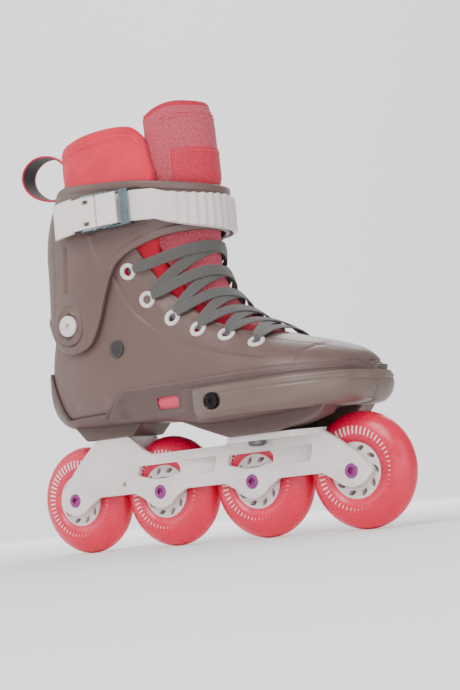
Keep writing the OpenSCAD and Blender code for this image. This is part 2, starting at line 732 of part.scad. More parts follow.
module pivot_cover(s) {
  color([0.45, 0.41, 0.38])
    difference() {
      pivot_oval(s > 0 ? cover_in + 0.05 : -cover_out, s > 0 ? cover_out : -cover_in - 0.05);
      rod_y(pivot_x, pivot_z, pivot_d + 0.1, -60, 60);
      rod_y(pivot_x, pivot_z, 16, s > 0 ? cover_out - 1.2 : -60, s > 0 ? 60 : -cover_out + 1.2);
    }
}
module lateral_pivot_cover() { pivot_cover(-1); }
module medial_pivot_cover() { pivot_cover(1); }

module pivot_bolts() {
  color([0.92, 0.90, 0.89])
    for (s = [-1, 1]) {
      difference() {
        union() {
          rod_y(pivot_x, pivot_z, 15.4, s > 0 ? cover_out - 1.1 : -cover_out - 1.6,
            s > 0 ? cover_out + 1.6 : -cover_out + 1.1);
          rod_y(pivot_x, pivot_z, pivot_d, s > 0 ? 35.7 : -cover_out + 1.1, s > 0 ? cover_out - 1.1 : -35.7);
          rod_y(pivot_x, pivot_z, 4.9, s > 0 ? 31.5 : -35.7, s > 0 ? 35.7 : -31.5);
        }
        translate([pivot_x, s * (cover_out - 1), pivot_z])
          rotate([-90 * s, 0, 0])
            cylinder(d = 4.6, h = 5, $fn = 6);
      }
    }
}

module pivot_nuts() {
  color([0.70, 0.71, 0.73])
    for (s = [-1, 1]) {
      difference() {
        union() {
          rod_y(pivot_x, pivot_z, 13, s > 0 ? 29.6 : -31, s > 0 ? 31 : -29.6);
          rod_y(pivot_x, pivot_z, 7.9, s > 0 ? 31 : -35.4, s > 0 ? 35.4 : -31);
        }
        rod_y(pivot_x, pivot_z, 5, -36, 36);
      }
    }
}

collar_low = [[-160, 178], [-130, 182], [-27, 228], [60, 240]];
collar_high = [[-160, 297], [-90, 300], [-60, 303], [-26, 302], [-16, 296], [-11, 286], [60, 284]];
module liner_collar() {
  color([0.90, 0.28, 0.40])
    boot_band(collar_low, collar_high, 57, 303, -6, 0.9, 30, 10);
}

// A band along points in side view, with thickness t and width w in y
module band(path, t, w) {
  m = len(path) - 1;
  loft([for (i = [0:m]) let (
      d = path[min(i + 1, m)] - path[max(i - 1, 0)], n = [-d[1], d[0]] / norm(d) * t / 2)
    [[path[i][0] - n[0], -w / 2, path[i][1] - n[1]], [path[i][0] + n[0], -w / 2, path[i][1] + n[1]],
     [path[i][0] + n[0], w / 2, path[i][1] + n[1]], [path[i][0] - n[0], w / 2, path[i][1] - n[1]]]]);
}

loop_path = [[-109, 291], [-114, 299], [-124, 305], [-138, 307], [-149, 303], [-155, 295], [-153, 285],
  [-145, 277], [-134, 272], [-123, 270], [-114, 270.5], [-107, 277]];

module pull_loop() {
  color([0.92, 0.88, 0.87])
    band(loop_path, 1.6, 14);
}

// ---- Buckle and closure strap ----

buckle_at = [-46, -50.6, 242.5];
buckle_turn = 3.5;
rivet_x = [-13, 26];
lever_pin_at = [0, 6.6];
release_pin_at = [8.5, 6.6];

// Buckle's own frame: X towards the strap's mouth, Y up the leg, Z away from the cuff
module buckle_frame() {
  translate(buckle_at)
    rotate([0, 0, buckle_turn])
      rotate([90, 0, 0])
        children();
}

// A round rod across the buckle, along the leg, centred on its height
module cross_rod(at, d, h) {
  translate([at[0], h / 2, at[1]])
    rotate([90, 0, 0])
      cylinder(d = d, h = h);
}

// An outline in the buckle's plan [along, out], extruded over a height h
module buckle_plan(points, y0, y1) {
  translate([0, y1, 0])
    rotate([90, 0, 0])
      linear_extrude(y1 - y0)
        polygon(points);
}

module buckle_base() {
  color([0.45, 0.50, 0.54])
    buckle_frame()
      difference() {
        union() {
          translate([-18, -12.7, 0]) cube([48, 25.4, 1.2]);
          for (y = [-12.7, 11.5]) {
            buckle_plan([[-18, 0], [-18, 2.5], [-8, 8.6], [12, 8.8], [14, 5], [22.5, 5], [22.5, 0]], y, y + 1.2);
            buckle_plan([[22.5, 0], [22.5, 6.4], [30, 6.4], [30, 0]], y, y + 1.2);
          }
          translate([22.5, -12.7, 5.4]) cube([7.5, 25.4, 1]);
        }
        cross_rod(lever_pin_at, 2.5, 40);
        cross_rod(release_pin_at, 2.5, 40);
        for (x = rivet_x) {
          translate([x, 0, -1]) cylinder(d = 3.1, h = 4);
        }
      }
}

module buckle_rivets() {
  color([0.62, 0.64, 0.66])
    buckle_frame()
      for (x = rivet_x) {
        translate([x, 0, -1.8]) cylinder(d = 3, h = 3);
        translate([x, 0, 1.2]) cylinder(d = 5, h = 0.5);
      }
}

module lever_pin() {
  color([0.75, 0.77, 0.79])
    buckle_frame()
      cross_rod(lever_pin_at, 2.46, 26);
}

module release_pin() {
  color([0.75, 0.77, 0.79])
    buckle_frame()
      cross_rod(release_pin_at, 2.46, 26);
}

module release_spring() {
  color([0.60, 0.62, 0.64])
    buckle_frame()
      translate([release_pin_at[0], 0, release_pin_at[1]])
        rotate([90, 0, 0])
          rotate_extrude()
            for (k = [-2:2]) {
              translate([1.85, k * 0.9]) circle(d = 0.8, $fn = 16);
            }
}

module buckle_lever() {
  color([0.90, 0.87, 0.86])
    buckle_frame()
      difference() {
        union() {
          cross_rod(lever_pin_at, 5.8, 22.4);
          buckle_plan([[0, 9.5], [-12, 9.6], [-21, 7.8], [-21, 5.4], [-12, 7], [-2.6, 6.6], [0, 6.6]], -11.2, 11.2);
          buckle_plan([[-18.6, 8.6], [-32, 3.8], [-lever_l, -2.6], [-lever_l, -4.8], [-36, -1.2],
            [-20, 5.4], [-18.6, 6]], -12.6, 12.6);
        }
        cross_rod(lever_pin_at, 2.6, 40);
        for (y = [-9.4, 6.4]) {
          translate([-8, y, 4]) cube([5.5, 3, 8]);
        }
      }
}

module buckle_release() {
  color([0.90, 0.87, 0.86])
    buckle_frame()
      difference() {
        union() {
          cross_rod(release_pin_at, 5.2, 22.4);
          buckle_plan([[4.4, 8], [21.4, 8], [21.4, 9.6], [4.4, 9.6]], -11.2, 11.2);
          buckle_plan([[8.5, 4.1], [13.5, 4.5], [14.6, 5.6], [11, 8.2], [8.5, 8.2]], -11.2, 11.2);
        }
        cross_rod(release_pin_at, 2.6, 40);
        translate([4.5, -2.9, 3.5]) cube([7, 5.8, 5.45]);
      }
}

// The strap's middle line: straight in the buckle, then round the front of the cuff
strap_in = 6.8;
strap_t = 2.3;
rib_t = 1.2;
function buckle_xyz(x, out) = buckle_at + [x * cos(buckle_turn) + out * sin(buckle_turn),
  x * sin(buckle_turn) - out * cos(buckle_turn), 0];
function strap_place(a) = 15.3 + (a > 0 ? 3.2 : 1.8) * (1 - cos(a));
function strap_half(a) = 10.4 + 1.8 * pow(cos(a), 4);
function strap_section(p, q, h) = [p - [0, 0, h], q - [0, 0, h], q + [0, 0, h], p + [0, 0, h]];
// Outer offset along the strap: smooth near the buckle, ribbed round the front
function strap_out(a) = strap_in + strap_t + (a < 46 && a > -62 && floor((a + 90) / 3.6) % 2 == 0 ? rib_t : 0);

module strap() {
  color([0.90, 0.86, 0.85])
    difference() {
      loft(concat(
      [for (x = [-10, 20, 30]) strap_section(buckle_xyz(x, 1.7), buckle_xyz(x, 3.6), x < 21 ? strap_h - 0.4 : strap_h)],
      [for (a = [54, 50]) let (lift = (a - 46) / 5) strap_section(boot_point(strap_place(a), a, strap_in + lift),
        boot_point(strap_place(a), a, strap_out(a) + lift), 10.8)],
      [for (a = [46:-1.8:-80]) strap_section(boot_point(strap_place(a), a, strap_in),
        boot_point(strap_place(a), a, strap_out(a)), strap_half(a))]));
      strap_anchor_hole();
    }
}

// Run the children at the strap's fixed end, with +Z outwards
module at_strap_end() {
  a = -76;
  translate(boot_point(strap_place(a), a, strap_in + strap_t))
    aim(boot_normal(strap_place(a), a))
      children();
}

module strap_anchor_hole() {
  at_strap_end() translate([0, 0, -12]) cylinder(d = 5, h = 16);
}

module strap_anchor() {
  color([0.70, 0.71, 0.73])
    at_strap_end()
      difference() {
        union() {
          translate([0, 0, 1]) cylinder(d = 9.6, h = 1.6);
          translate([0, 0, -6.4]) cylinder(d = 4.6, h = 7.6);
        }
        translate([0, 0, 0.7]) cylinder(d = 3.6, h = 3, $fn = 6);
      }
}

upper_shell();
lower_chassis();
lateral_slider();
medial_slider();
slider_screws();
shock_absorber();
footbed();
liner_foot();
tongue_lower();
lace();
lateral_eyelets();
medial_eyelets();
side_badge();
frame();
frame_bolts();
axles();
axle_screws();
bearing_spacers();
bearing_inner_rings();
pivot_bolts();
pivot_nuts();
cuff();
lateral_pivot_cover();
medial_pivot_cover();
liner_collar();
tongue_upper();
tongue_patch();
pull_loop();
strap();
strap_anchor();
buckle_base();
buckle_rivets();
lever_pin();
release_pin();
release_spring();
buckle_lever();
buckle_release();
for (i = [0:3]) {
  tyre(i);
  hub(i);
  bearings(i);
  ball_set(i);
}
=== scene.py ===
"""Inline skate: the looks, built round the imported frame.

Row frame, in metres: +X to the toe, +Y to the inner side of the foot, +Z up. The boot's surfaces
are worked out in millimetres and turned into metres as each mesh is made.
"""
import json
import math
from contextlib import contextmanager

import bmesh
import bpy
import numpy as np
from mathutils import Matrix, Vector


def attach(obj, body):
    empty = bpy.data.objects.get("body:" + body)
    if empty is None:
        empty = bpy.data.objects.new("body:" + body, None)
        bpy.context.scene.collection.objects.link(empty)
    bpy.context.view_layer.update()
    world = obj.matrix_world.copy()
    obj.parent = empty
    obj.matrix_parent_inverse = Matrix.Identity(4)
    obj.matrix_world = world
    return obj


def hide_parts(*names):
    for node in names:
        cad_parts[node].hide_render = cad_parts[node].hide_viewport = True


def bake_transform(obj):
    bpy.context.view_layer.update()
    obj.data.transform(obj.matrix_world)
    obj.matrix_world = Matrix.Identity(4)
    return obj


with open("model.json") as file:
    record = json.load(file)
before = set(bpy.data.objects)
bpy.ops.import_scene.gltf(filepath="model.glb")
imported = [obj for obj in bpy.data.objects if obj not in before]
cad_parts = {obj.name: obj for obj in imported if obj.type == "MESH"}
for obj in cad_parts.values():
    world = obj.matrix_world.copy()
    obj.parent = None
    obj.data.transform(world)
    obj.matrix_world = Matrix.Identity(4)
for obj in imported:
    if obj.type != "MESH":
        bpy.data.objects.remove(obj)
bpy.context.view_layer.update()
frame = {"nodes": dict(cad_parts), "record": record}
MM = 0.001
ROOT, CUFF = "boot", "cuff_body"

# ------------------------------------------------------------------ the boot's surface

# The boot is a row of rings, each in a plane square to the middle plane, from a front or top
# point A to a sole or back point B. Columns: A's x and z, B's x and z, half width, shift in y,
# place of the widest line from A to B, squareness at A and at B.
BOOT_RINGS = np.array([
    [130.5, 112, 130.5, 101, 11, 4, 0.5, 2.0, 2.0],
    [130, 117, 130, 94, 21, 4, 0.5, 2.2, 2.8],
    [127, 121.5, 127, 91, 29, 3.5, 0.55, 2.3, 3.8],
    [120, 126, 120, 89.5, 35.5, 2.5, 0.6, 2.3, 5],
    [109.5, 130, 109.5, 88, 40.5, 1.5, 0.6, 2.3, 6],
    [96, 134, 94, 86.5, 45, 0.5, 0.62, 2.3, 7],
    [80, 138.5, 74, 85.5, 47.5, 0, 0.62, 2.3, 7],
    [63, 145, 48, 84.5, 47, 0, 0.6, 2.2, 7],
    [48, 152.5, 17, 85.5, 44.5, 0, 0.55, 2.2, 7],
    [36, 162, -20, 91, 41.5, 0, 0.5, 2.2, 6],
    [27, 173, -60, 93.5, 39, 0, 0.5, 2.2, 5],
    [21.5, 184, -97, 93.5, 37.5, 0, 0.5, 2.2, 3.6],
    [18.5, 194, -124, 97, 36.5, 0, 0.5, 2.2, 2.8],
    [17, 204, -137, 111, 36.5, 0, 0.5, 2.2, 2.3],
    [17.5, 215, -137.5, 136, 37.5, 0, 0.5, 2.2, 2.2],
    [19.5, 228, -131, 164, 39.5, 0, 0.5, 2.2, 2.2],
    [20.5, 240, -127, 196, 42.5, 0, 0.5, 2.2, 2.2],
    [21, 250, -124, 230, 45, 0, 0.5, 2.2, 2.2],
    [20, 259, -114, 257, 46, 0, 0.5, 2.2, 2.2],
    [18, 268, -104, 274, 44, 0, 0.5, 2.2, 2.2],
    [14, 284, -107, 290, 41, 0, 0.5, 2.2, 2.2],
    [10, 304, -104, 312, 38, 0, 0.5, 2.2, 2.2]])
LAST = len(BOOT_RINGS) - 1


def ring_row(u):
    """One row of the table at a fractional place u, on a smooth curve through the rows."""
    i = int(min(max(math.floor(u), 0), LAST - 1))
    t = u - i
    p0, p1, p2, p3 = (BOOT_RINGS[k] for k in (max(i - 1, 0), i, i + 1, min(i + 2, LAST)))
    return 0.5 * (2 * p1 + (p2 - p0) * t + (2 * p0 - 5 * p1 + 4 * p2 - p3) * t * t
                  + (3 * p1 - p0 - 3 * p2 + p3) * t ** 3)


def ring_points(u, a):
    """Points of the ring at place u, at angles a in radians from A round the outer side."""
    r = ring_row(u)
    A, B = np.array([r[0], 0, r[1]]), np.array([r[2], 0, r[3]])
    c, s = np.cos(a), np.sin(a)
    e = np.where(c > 0, 2 / r[7], 2 / r[8])
    bow = np.abs(c) ** e
    along = np.where(c > 0, r[6] * (1 - bow), r[6] + (1 - r[6]) * bow)
    p = A + (B - A) * along[:, None]
    p[:, 1] = r[5] - r[4] * np.sign(s) * np.abs(s) ** e
    return p


def ring_angles(count=70):
    """Angles from 0 to pi that follow the squarish rings closely."""
    q = np.linspace(0, 1, count)
    a = np.concatenate([np.arccos(q ** 1.1), np.arcsin(q ** 1.1), math.pi - np.arccos(q ** 3.5),
                        math.pi - np.arcsin(q ** 3.5), math.pi - np.arccos(q ** 1.6)])
    return np.unique(np.round(a, 6))


F_COUNT = 361
U_STEP = 0.05


def build_surface():
    """The boot's surface as a table: rows by place u from -1 (the toe's tip) to the top, columns
    by share f of the way round, from the inner side's -0.5 at the sole to the outer side's 0.5."""
    half = ring_angles()
    a = np.concatenate([-half[:0:-1], half])
    us = np.arange(-1, LAST + 1e-6, U_STEP)
    grid = np.zeros((len(us), F_COUNT, 3))
    shares = np.linspace(-0.5, 0.5, F_COUNT)
    for i, u in enumerate(us):
        p = ring_points(max(u, 0), a)
        step = np.linalg.norm(np.diff(p, axis=0), axis=1)
        s = np.concatenate([[0], np.cumsum(step)])
        s = s / s[-1] - 0.5
        grid[i] = np.stack([np.interp(shares, s, p[:, k]) for k in range(3)], 1)
        if u < 0:
            middle = (grid[i][F_COUNT // 2] + grid[i][0]) / 2
            grid[i] = middle + (grid[i] - middle) * max(1 + u, 0)
            grid[i][:, 0] += 1.5 * (1 - (1 + u) ** 2)
    for _ in range(3):
        grid[1:-1] = (grid[:-2] + 2 * grid[1:-1] + grid[2:]) / 4
    along_u = np.gradient(grid, axis=0)
    wrapped = np.concatenate([grid[:, -2:-1], grid, grid[:, 1:2]], 1)
    along_f = wrapped[:, 2:] - wrapped[:, :-2]
    n = np.cross(along_u, along_f)
    n[0] = (1, 0, 0)
    n /= np.maximum(np.linalg.norm(n, axis=2, keepdims=True), 1e-9)
    return us, grid, n


U_TABLE, SURFACE, NORMALS = build_surface()


def sample(table, u, f):
    """Reads a table between its rows and columns. f wraps round."""
    x = np.clip((np.asarray(u, float) + 1) / U_STEP, 0, len(U_TABLE) - 1.001)
    y = ((np.asarray(f, float) + 0.5) % 1.0) * (F_COUNT - 1)
    i, j = np.floor(x).astype(int), np.minimum(np.floor(y).astype(int), F_COUNT - 2)
    s, t = (x - i)[..., None], (y - j)[..., None]
    return ((table[i, j] * (1 - t) + table[i, j + 1] * t) * (1 - s)
            + (table[i + 1, j] * (1 - t) + table[i + 1, j + 1] * t) * s)


def boot(u, f, g=0.0):
    """Points of the boot grown outwards by g. u, f and g are numbers or arrays of one shape."""
    u, f, g = np.broadcast_arrays(u, f, g)
    return sample(SURFACE, u, f) + g[..., None] * sample(NORMALS, u, f)


def unit(v):
    """Directions made one long."""
    return v / np.maximum(np.linalg.norm(v, axis=-1, keepdims=True), 1e-9)


def normal(u, f):
    return unit(sample(NORMALS, *np.broadcast_arrays(u, f)))


def on_edge(edge):
    """An edge in side view as a function that gives its height at x."""
    edge = np.array(sorted(tuple(p) for p in edge), float)
    return lambda x: np.interp(x, edge[:, 0], edge[:, 1])


def halve(is_past, lo, hi, shape):
    """Closes in, for an array of values, on where is_past turns true between lo and hi."""
    lo, hi = np.full(shape, float(lo)), np.full(shape, float(hi))
    for _ in range(26):
        mid = (lo + hi) / 2
        past = is_past(mid)
        lo, hi = np.where(past, lo, mid), np.where(past, mid, hi)
    return (lo + hi) / 2


def places_at_edge(f, height, lo, hi, g=0.0):
    """For each share f, the place where the surface rises through the edge."""
    def is_past(u):
        p = boot(u, f, g)
        return p[..., 2] > height(p[..., 0])
    return halve(is_past, lo, hi, f.shape)


def shares_at_edge(u, height, side, g=0.0):
    """For each place u, the share f on one side where the surface comes down to the edge."""
    def is_past(f):
        p = boot(u, side * f, g)
        return p[..., 2] <= height(p[..., 0])
    return halve(is_past, 0, 0.5, u.shape)


# ------------------------------------------------------------------ mesh helpers

def smooth_step(x, lo, hi):
    t = np.clip((x - lo) / (hi - lo), 0, 1)
    return t * t * (3 - 2 * t)


def side_distance(p, points):
    """Distance in side view from each point of p to a line through the points."""
    best = np.full(p.shape[:-1], 1e9)
    pts = np.array(points, float)
    for a, b in zip(pts[:-1], pts[1:]):
        d = p[..., [0, 2]] - a
        t = np.clip((d @ (b - a)) / np.linalg.norm(b - a) ** 2, 0, 1)
        best = np.minimum(best, np.linalg.norm(d - t[..., None] * (b - a), axis=-1))
    return best


def corners_cut(p):
    """The points a quarter and three quarters along each piece of a line."""
    q = np.empty((2 * len(p) - 2, p.shape[1]))
    q[0::2] = 0.75 * p[:-1] + 0.25 * p[1:]
    q[1::2] = 0.25 * p[:-1] + 0.75 * p[1:]
    return q


def rounded(points, turns=3):
    """Cuts a line's corners, so that it bends smoothly."""
    p = np.array(points, float)
    for _ in range(turns):
        p = np.concatenate([p[:1], corners_cut(p), p[-1:]])
    return p


def run_along(path):
    """How far along a path each of its points lies."""
    return np.concatenate([[0], np.cumsum(np.linalg.norm(np.diff(path, axis=0), axis=1))])


def groove(distance, width, depth):
    return -depth * np.exp(-(distance / width) ** 2)


def in_scene(name, data):
    """A new object of the scene that holds the data."""
    obj = bpy.data.objects.new(name, data)
    bpy.context.scene.collection.objects.link(obj)
    return obj


def discard(obj):
    mesh = obj.data
    bpy.data.objects.remove(obj)
    bpy.data.meshes.remove(mesh)


@contextmanager
def edited(mesh):
    """A mesh opened for editing and written back at the end."""
    bm = bmesh.new()
    bm.from_mesh(mesh)
    yield bm
    bm.to_mesh(mesh)
    bm.free()


def shade_smooth(mesh):
    mesh.polygons.foreach_set("use_smooth", [True] * len(mesh.polygons))


def mark_cloth(mesh, cloth):
    """Stores each point's place on its fabric, in millimetres."""
    attribute = mesh.attributes.new("cloth", "FLOAT_VECTOR", "POINT")
    attribute.data.foreach_set("vector", np.asarray(cloth, np.float32).ravel())


def mesh_object(name, verts, faces, cloth=None, merge=True):
    """A mesh object from points in millimetres."""
    mesh = bpy.data.meshes.new(name)
    mesh.from_pydata([tuple(v) for v in np.asarray(verts) * MM], [],
                     [tuple(map(int, f)) for f in faces])
    if cloth is not None:
        mark_cloth(mesh, cloth)
    if merge:
        with edited(mesh) as bm:
            bmesh.ops.remove_doubles(bm, verts=bm.verts, dist=2e-6)
            bmesh.ops.recalc_face_normals(bm, faces=bm.faces)
    shade_smooth(mesh)
    mesh.update()
    return in_scene(name, mesh)


def grid_faces(rows, cols, start=0, closed=False, flip=False):
    """Four-sided faces over a grid of points. A closed grid joins its last column to its first."""
    i, k = np.meshgrid(np.arange(rows - 1), np.arange(cols if closed else cols - 1), indexing="ij")
    i, k = i.ravel(), k.ravel()
    k2 = (k + 1) % cols
    a, b, c, d = i * cols + k, i * cols + k2, (i + 1) * cols + k2, (i + 1) * cols + k
    return np.stack([a, d, c, b] if flip else [a, b, c, d], 1) + start


def round_end(outer, inner, axis, at_start, steps=4):
    """Rows or columns that close a wall's end with a half circle."""
    o, i = np.moveaxis(outer, axis, 0), np.moveaxis(inner, axis, 0)
    if at_start:
        o, i = o[::-1], i[::-1]
    middle, half = (o[-1] + i[-1]) / 2, (o[-1] - i[-1]) / 2
    away = unit(middle - (o[-2] + i[-2]) / 2)
    radius = np.linalg.norm(half, axis=-1, keepdims=True)
    turns = [math.radians(90 * (k + 1) / steps) for k in range(steps)]
    more_o = [middle + half * math.cos(t) + away * radius * math.sin(t) for t in turns]
    more_i = [middle - half * math.cos(t) + away * radius * math.sin(t) for t in turns]
    o, i = np.concatenate([o, more_o]), np.concatenate([i, more_i])
    if at_start:
        o, i = o[::-1], i[::-1]
    return np.moveaxis(o, 0, axis), np.moveaxis(i, 0, axis)


def cloth_grid(grid):
    """How far each point lies along its row and column, in millimetres."""
    across = np.concatenate([np.zeros((grid.shape[0], 1)),
                             np.cumsum(np.linalg.norm(np.diff(grid, axis=1), axis=2), 1)], 1)
    across -= across[:, across.shape[1] // 2][:, None]
    down = run_along(grid[:, grid.shape[1] // 2])[:, None]
    return np.stack([across, np.broadcast_to(down, across.shape), np.zeros(across.shape)], 2)


def wall(name, outer, inner, closed=False, start_rim=True, with_cloth=False):
    """A thick wall with rounded rims, from its outer and inner grids of points."""
    if not closed:
        outer, inner = round_end(outer, inner, 1, True)
        outer, inner = round_end(outer, inner, 1, False)
    if start_rim:
        outer, inner = round_end(outer, inner, 0, True)
    outer, inner = round_end(outer, inner, 0, False)
    rows, cols = outer.shape[:2]
    verts = np.concatenate([outer.reshape(-1, 3), inner.reshape(-1, 3)])
    faces = np.concatenate([grid_faces(rows, cols, 0, closed),
                            grid_faces(rows, cols, rows * cols, closed, True)])
    cloth = None
    if with_cloth:
        c = cloth_grid(outer).reshape(-1, 3)
        cloth = np.concatenate([c, c])
    return mesh_object(name, verts, faces, cloth)


def sweep(name, sections, cloth=None):
    """A solid through a row of closed sections."""
    sections = np.asarray(sections, float)
    rows, cols = sections.shape[:2]
    faces = [tuple(f) for f in grid_faces(rows, cols, 0, True)]
    faces.append(tuple(range(cols)))
    faces.append(tuple((rows - 1) * cols + k for k in range(cols - 1, -1, -1)))
    return mesh_object(name, sections.reshape(-1, 3), faces, cloth, merge=False)


def squarish(a, power_x, power_y):
    """Two coordinates of an oval at angles a. Powers under 1 make it squarer."""
    c, s = np.cos(a), np.sin(a)
    return np.sign(c) * np.abs(c) ** power_x, np.sign(s) * np.abs(s) ** power_y


def full_turn(sides):
    return np.linspace(0, 2 * math.pi, sides, endpoint=False)


def strip_cloth(across, path):
    """The place on its fabric of each point of a strip, along its section and its path."""
    shape = (len(path), len(across))
    along = np.broadcast_to(run_along(path)[:, None], shape)
    return np.stack([np.broadcast_to(across, shape), along, np.zeros(shape)], 2).reshape(-1, 3)


def tube(name, path, radius, sides, up):
    """A round bead along a path, with domed ends. up gives the wished up directions."""
    path = np.asarray(path, float)
    tangent = unit(np.gradient(path, axis=0))
    side = unit(np.cross(tangent, np.broadcast_to(up, path.shape)))
    upward = np.cross(side, tangent)
    a = full_turn(sides)[:, None]

    def ring(k, ahead=0.0, size=1.0):
        spokes = np.cos(a) * side[k] + np.sin(a) * upward[k]
        return path[k] + tangent[k] * radius * ahead + radius * size * spokes

    dome = [(-0.3, 0.35), (0.0, 0.8)]
    rings = [ring(0, ahead, size) for ahead, size in dome]
    rings += [ring(k) for k in range(len(path))]
    rings += [ring(-1, -ahead, size) for ahead, size in reversed(dome)]
    return sweep(name, rings)


def join(objs, name):
    """Joins meshes into one object, so that a repeated small thing is one piece."""
    verts, faces, start = [], [], 0
    for o in objs:
        verts += [tuple(o.matrix_world @ v.co) for v in o.data.vertices]
        faces += [tuple(i + start for i in p.vertices) for p in o.data.polygons]
        start = len(verts)
        discard(o)
    mesh = bpy.data.meshes.new(name)
    mesh.from_pydata(verts, [], faces)
    shade_smooth(mesh)
    return in_scene(name, mesh)


def apply_modifiers(obj):
    bpy.context.view_layer.update()
    graph = bpy.context.evaluated_depsgraph_get()
    done = bpy.data.meshes.new_from_object(obj.evaluated_get(graph))
    obj.modifiers.clear()
    obj.data = done
    return obj


def lathe(name, profile, sides, at=(0, 0, 0), axis=(0, 1, 0), across=(1, 0, 0), up=(0, 0, 1)):
    """A turned solid from a closed profile of [radius, along] points, round the axis at a point."""
    at, axis, across, up = (np.array(v, float) for v in (at, axis, across, up))
    profile = np.asarray(profile, float)
    a = full_turn(sides)[:, None, None]
    verts = at + profile[None, :, 1, None] * axis \
        + profile[None, :, 0, None] * (np.cos(a) * across + np.sin(a) * up)
    n = len(profile)
    faces = []
    for i in range(sides):
        row, after = i * n, (i + 1) % sides * n
        for k in range(n):
            k2 = (k + 1) % n
            faces.append((row + k, row + k2, after + k2, after + k))
    return mesh_object(name, verts.reshape(-1, 3), faces)


def sharpen(obj, bevel, angle, segments=2):
    """Rounds an object's hard edges a little and shades the rest smoothly."""
    mod = obj.modifiers.new("bevel", "BEVEL")
    mod.width = bevel * MM
    mod.segments = segments
    mod.limit_method = "ANGLE"
    mod.angle_limit = math.radians(angle)
    mod.harden_normals = True
    mod.use_clamp_overlap = True
    return apply_modifiers(obj)


def refined(node, name, bevel, angle):
    """A finer copy of a CAD node: its flat faces made whole and its edges rounded."""
    mesh = frame["nodes"][node].data.copy()
    mesh.materials.clear()
    obj = in_scene(name, mesh)
    with edited(mesh) as bm:
        bmesh.ops.remove_doubles(bm, verts=bm.verts, dist=4e-6)
        bmesh.ops.dissolve_limit(bm, angle_limit=math.radians(0.6), verts=bm.verts, edges=bm.edges)
    shade_smooth(mesh)
    if "custom_normal" in mesh.attributes:
        mesh.attributes.remove(mesh.attributes["custom_normal"])
    sharpen(obj, bevel, angle)
    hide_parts(node)
    return obj


def share_at(u, degrees):
    """The share of the way round at place u that an angle of the ring falls on."""
    p = ring_points(u, np.array([math.radians(degrees)]))[0]
    f = np.linspace(-0.5, 0.5, 1441)
    return f[np.argmin(np.linalg.norm(boot(u, f) - p, axis=1))]


def cut(obj, cutter):
    """Takes a closed mesh away from another."""
    mod = obj.modifiers.new("cut", "BOOLEAN")
    mod.operation = "DIFFERENCE"
    mod.solver = "EXACT"
    mod.object = cutter
    apply_modifiers(obj)
    discard(cutter)


def rod(name, start, end, radius, sides=32):
    """A cylinder from start to end, as a cutter."""
    start, end = np.array(start, float), np.array(end, float)
    along = unit(end - start)
    side = unit(np.cross(along, (0.3, 0.2, 0.9)))
    up = np.cross(side, along)
    a = full_turn(sides)[:, None]
    ring = radius * (np.cos(a) * side + np.sin(a) * up)
    return sweep(name, [start + ring, end + ring])


def prism(name, outline, y0, y1, bevel=1.0, round_turns=0):
    """An outline in side view [x, z], drawn out from y0 to y1, with rounded edges."""
    outline = np.array(outline, float)
    for _ in range(round_turns):
        outline = corners_cut(np.concatenate([outline, outline[:1]]))
    x, z = outline.T
    obj = sweep(name, [np.stack([x, np.full(len(x), y), z], 1) for y in sorted((y0, y1))])
    with edited(obj.data) as bm:
        bmesh.ops.recalc_face_normals(bm, faces=bm.faces)
    return sharpen(obj, bevel, 40, 3) if bevel else obj


def box_outline(x0, z0, x1, z1, corner=0):
    """A rectangle in side view, with its corners cut off by a size if one is given."""
    if not corner:
        return [[x0, z0], [x1, z0], [x1, z1], [x0, z1]]
    c = corner
    return [[x0 + c, z0], [x1 - c, z0], [x1, z0 + c], [x1, z1 - c],
            [x1 - c, z1], [x0 + c, z1], [x0, z1 - c], [x0, z0 + c]]


# ------------------------------------------------------------------ materials

MATERIALS = {}


def linear(r, g, b):
    """A screen colour from 0 to 255 as the shader's linear colour."""
    shares = (c / 255 for c in (r, g, b))
    return tuple(c / 12.92 if c <= 0.04 else ((c + 0.055) / 1.055) ** 2.4 for c in shares)


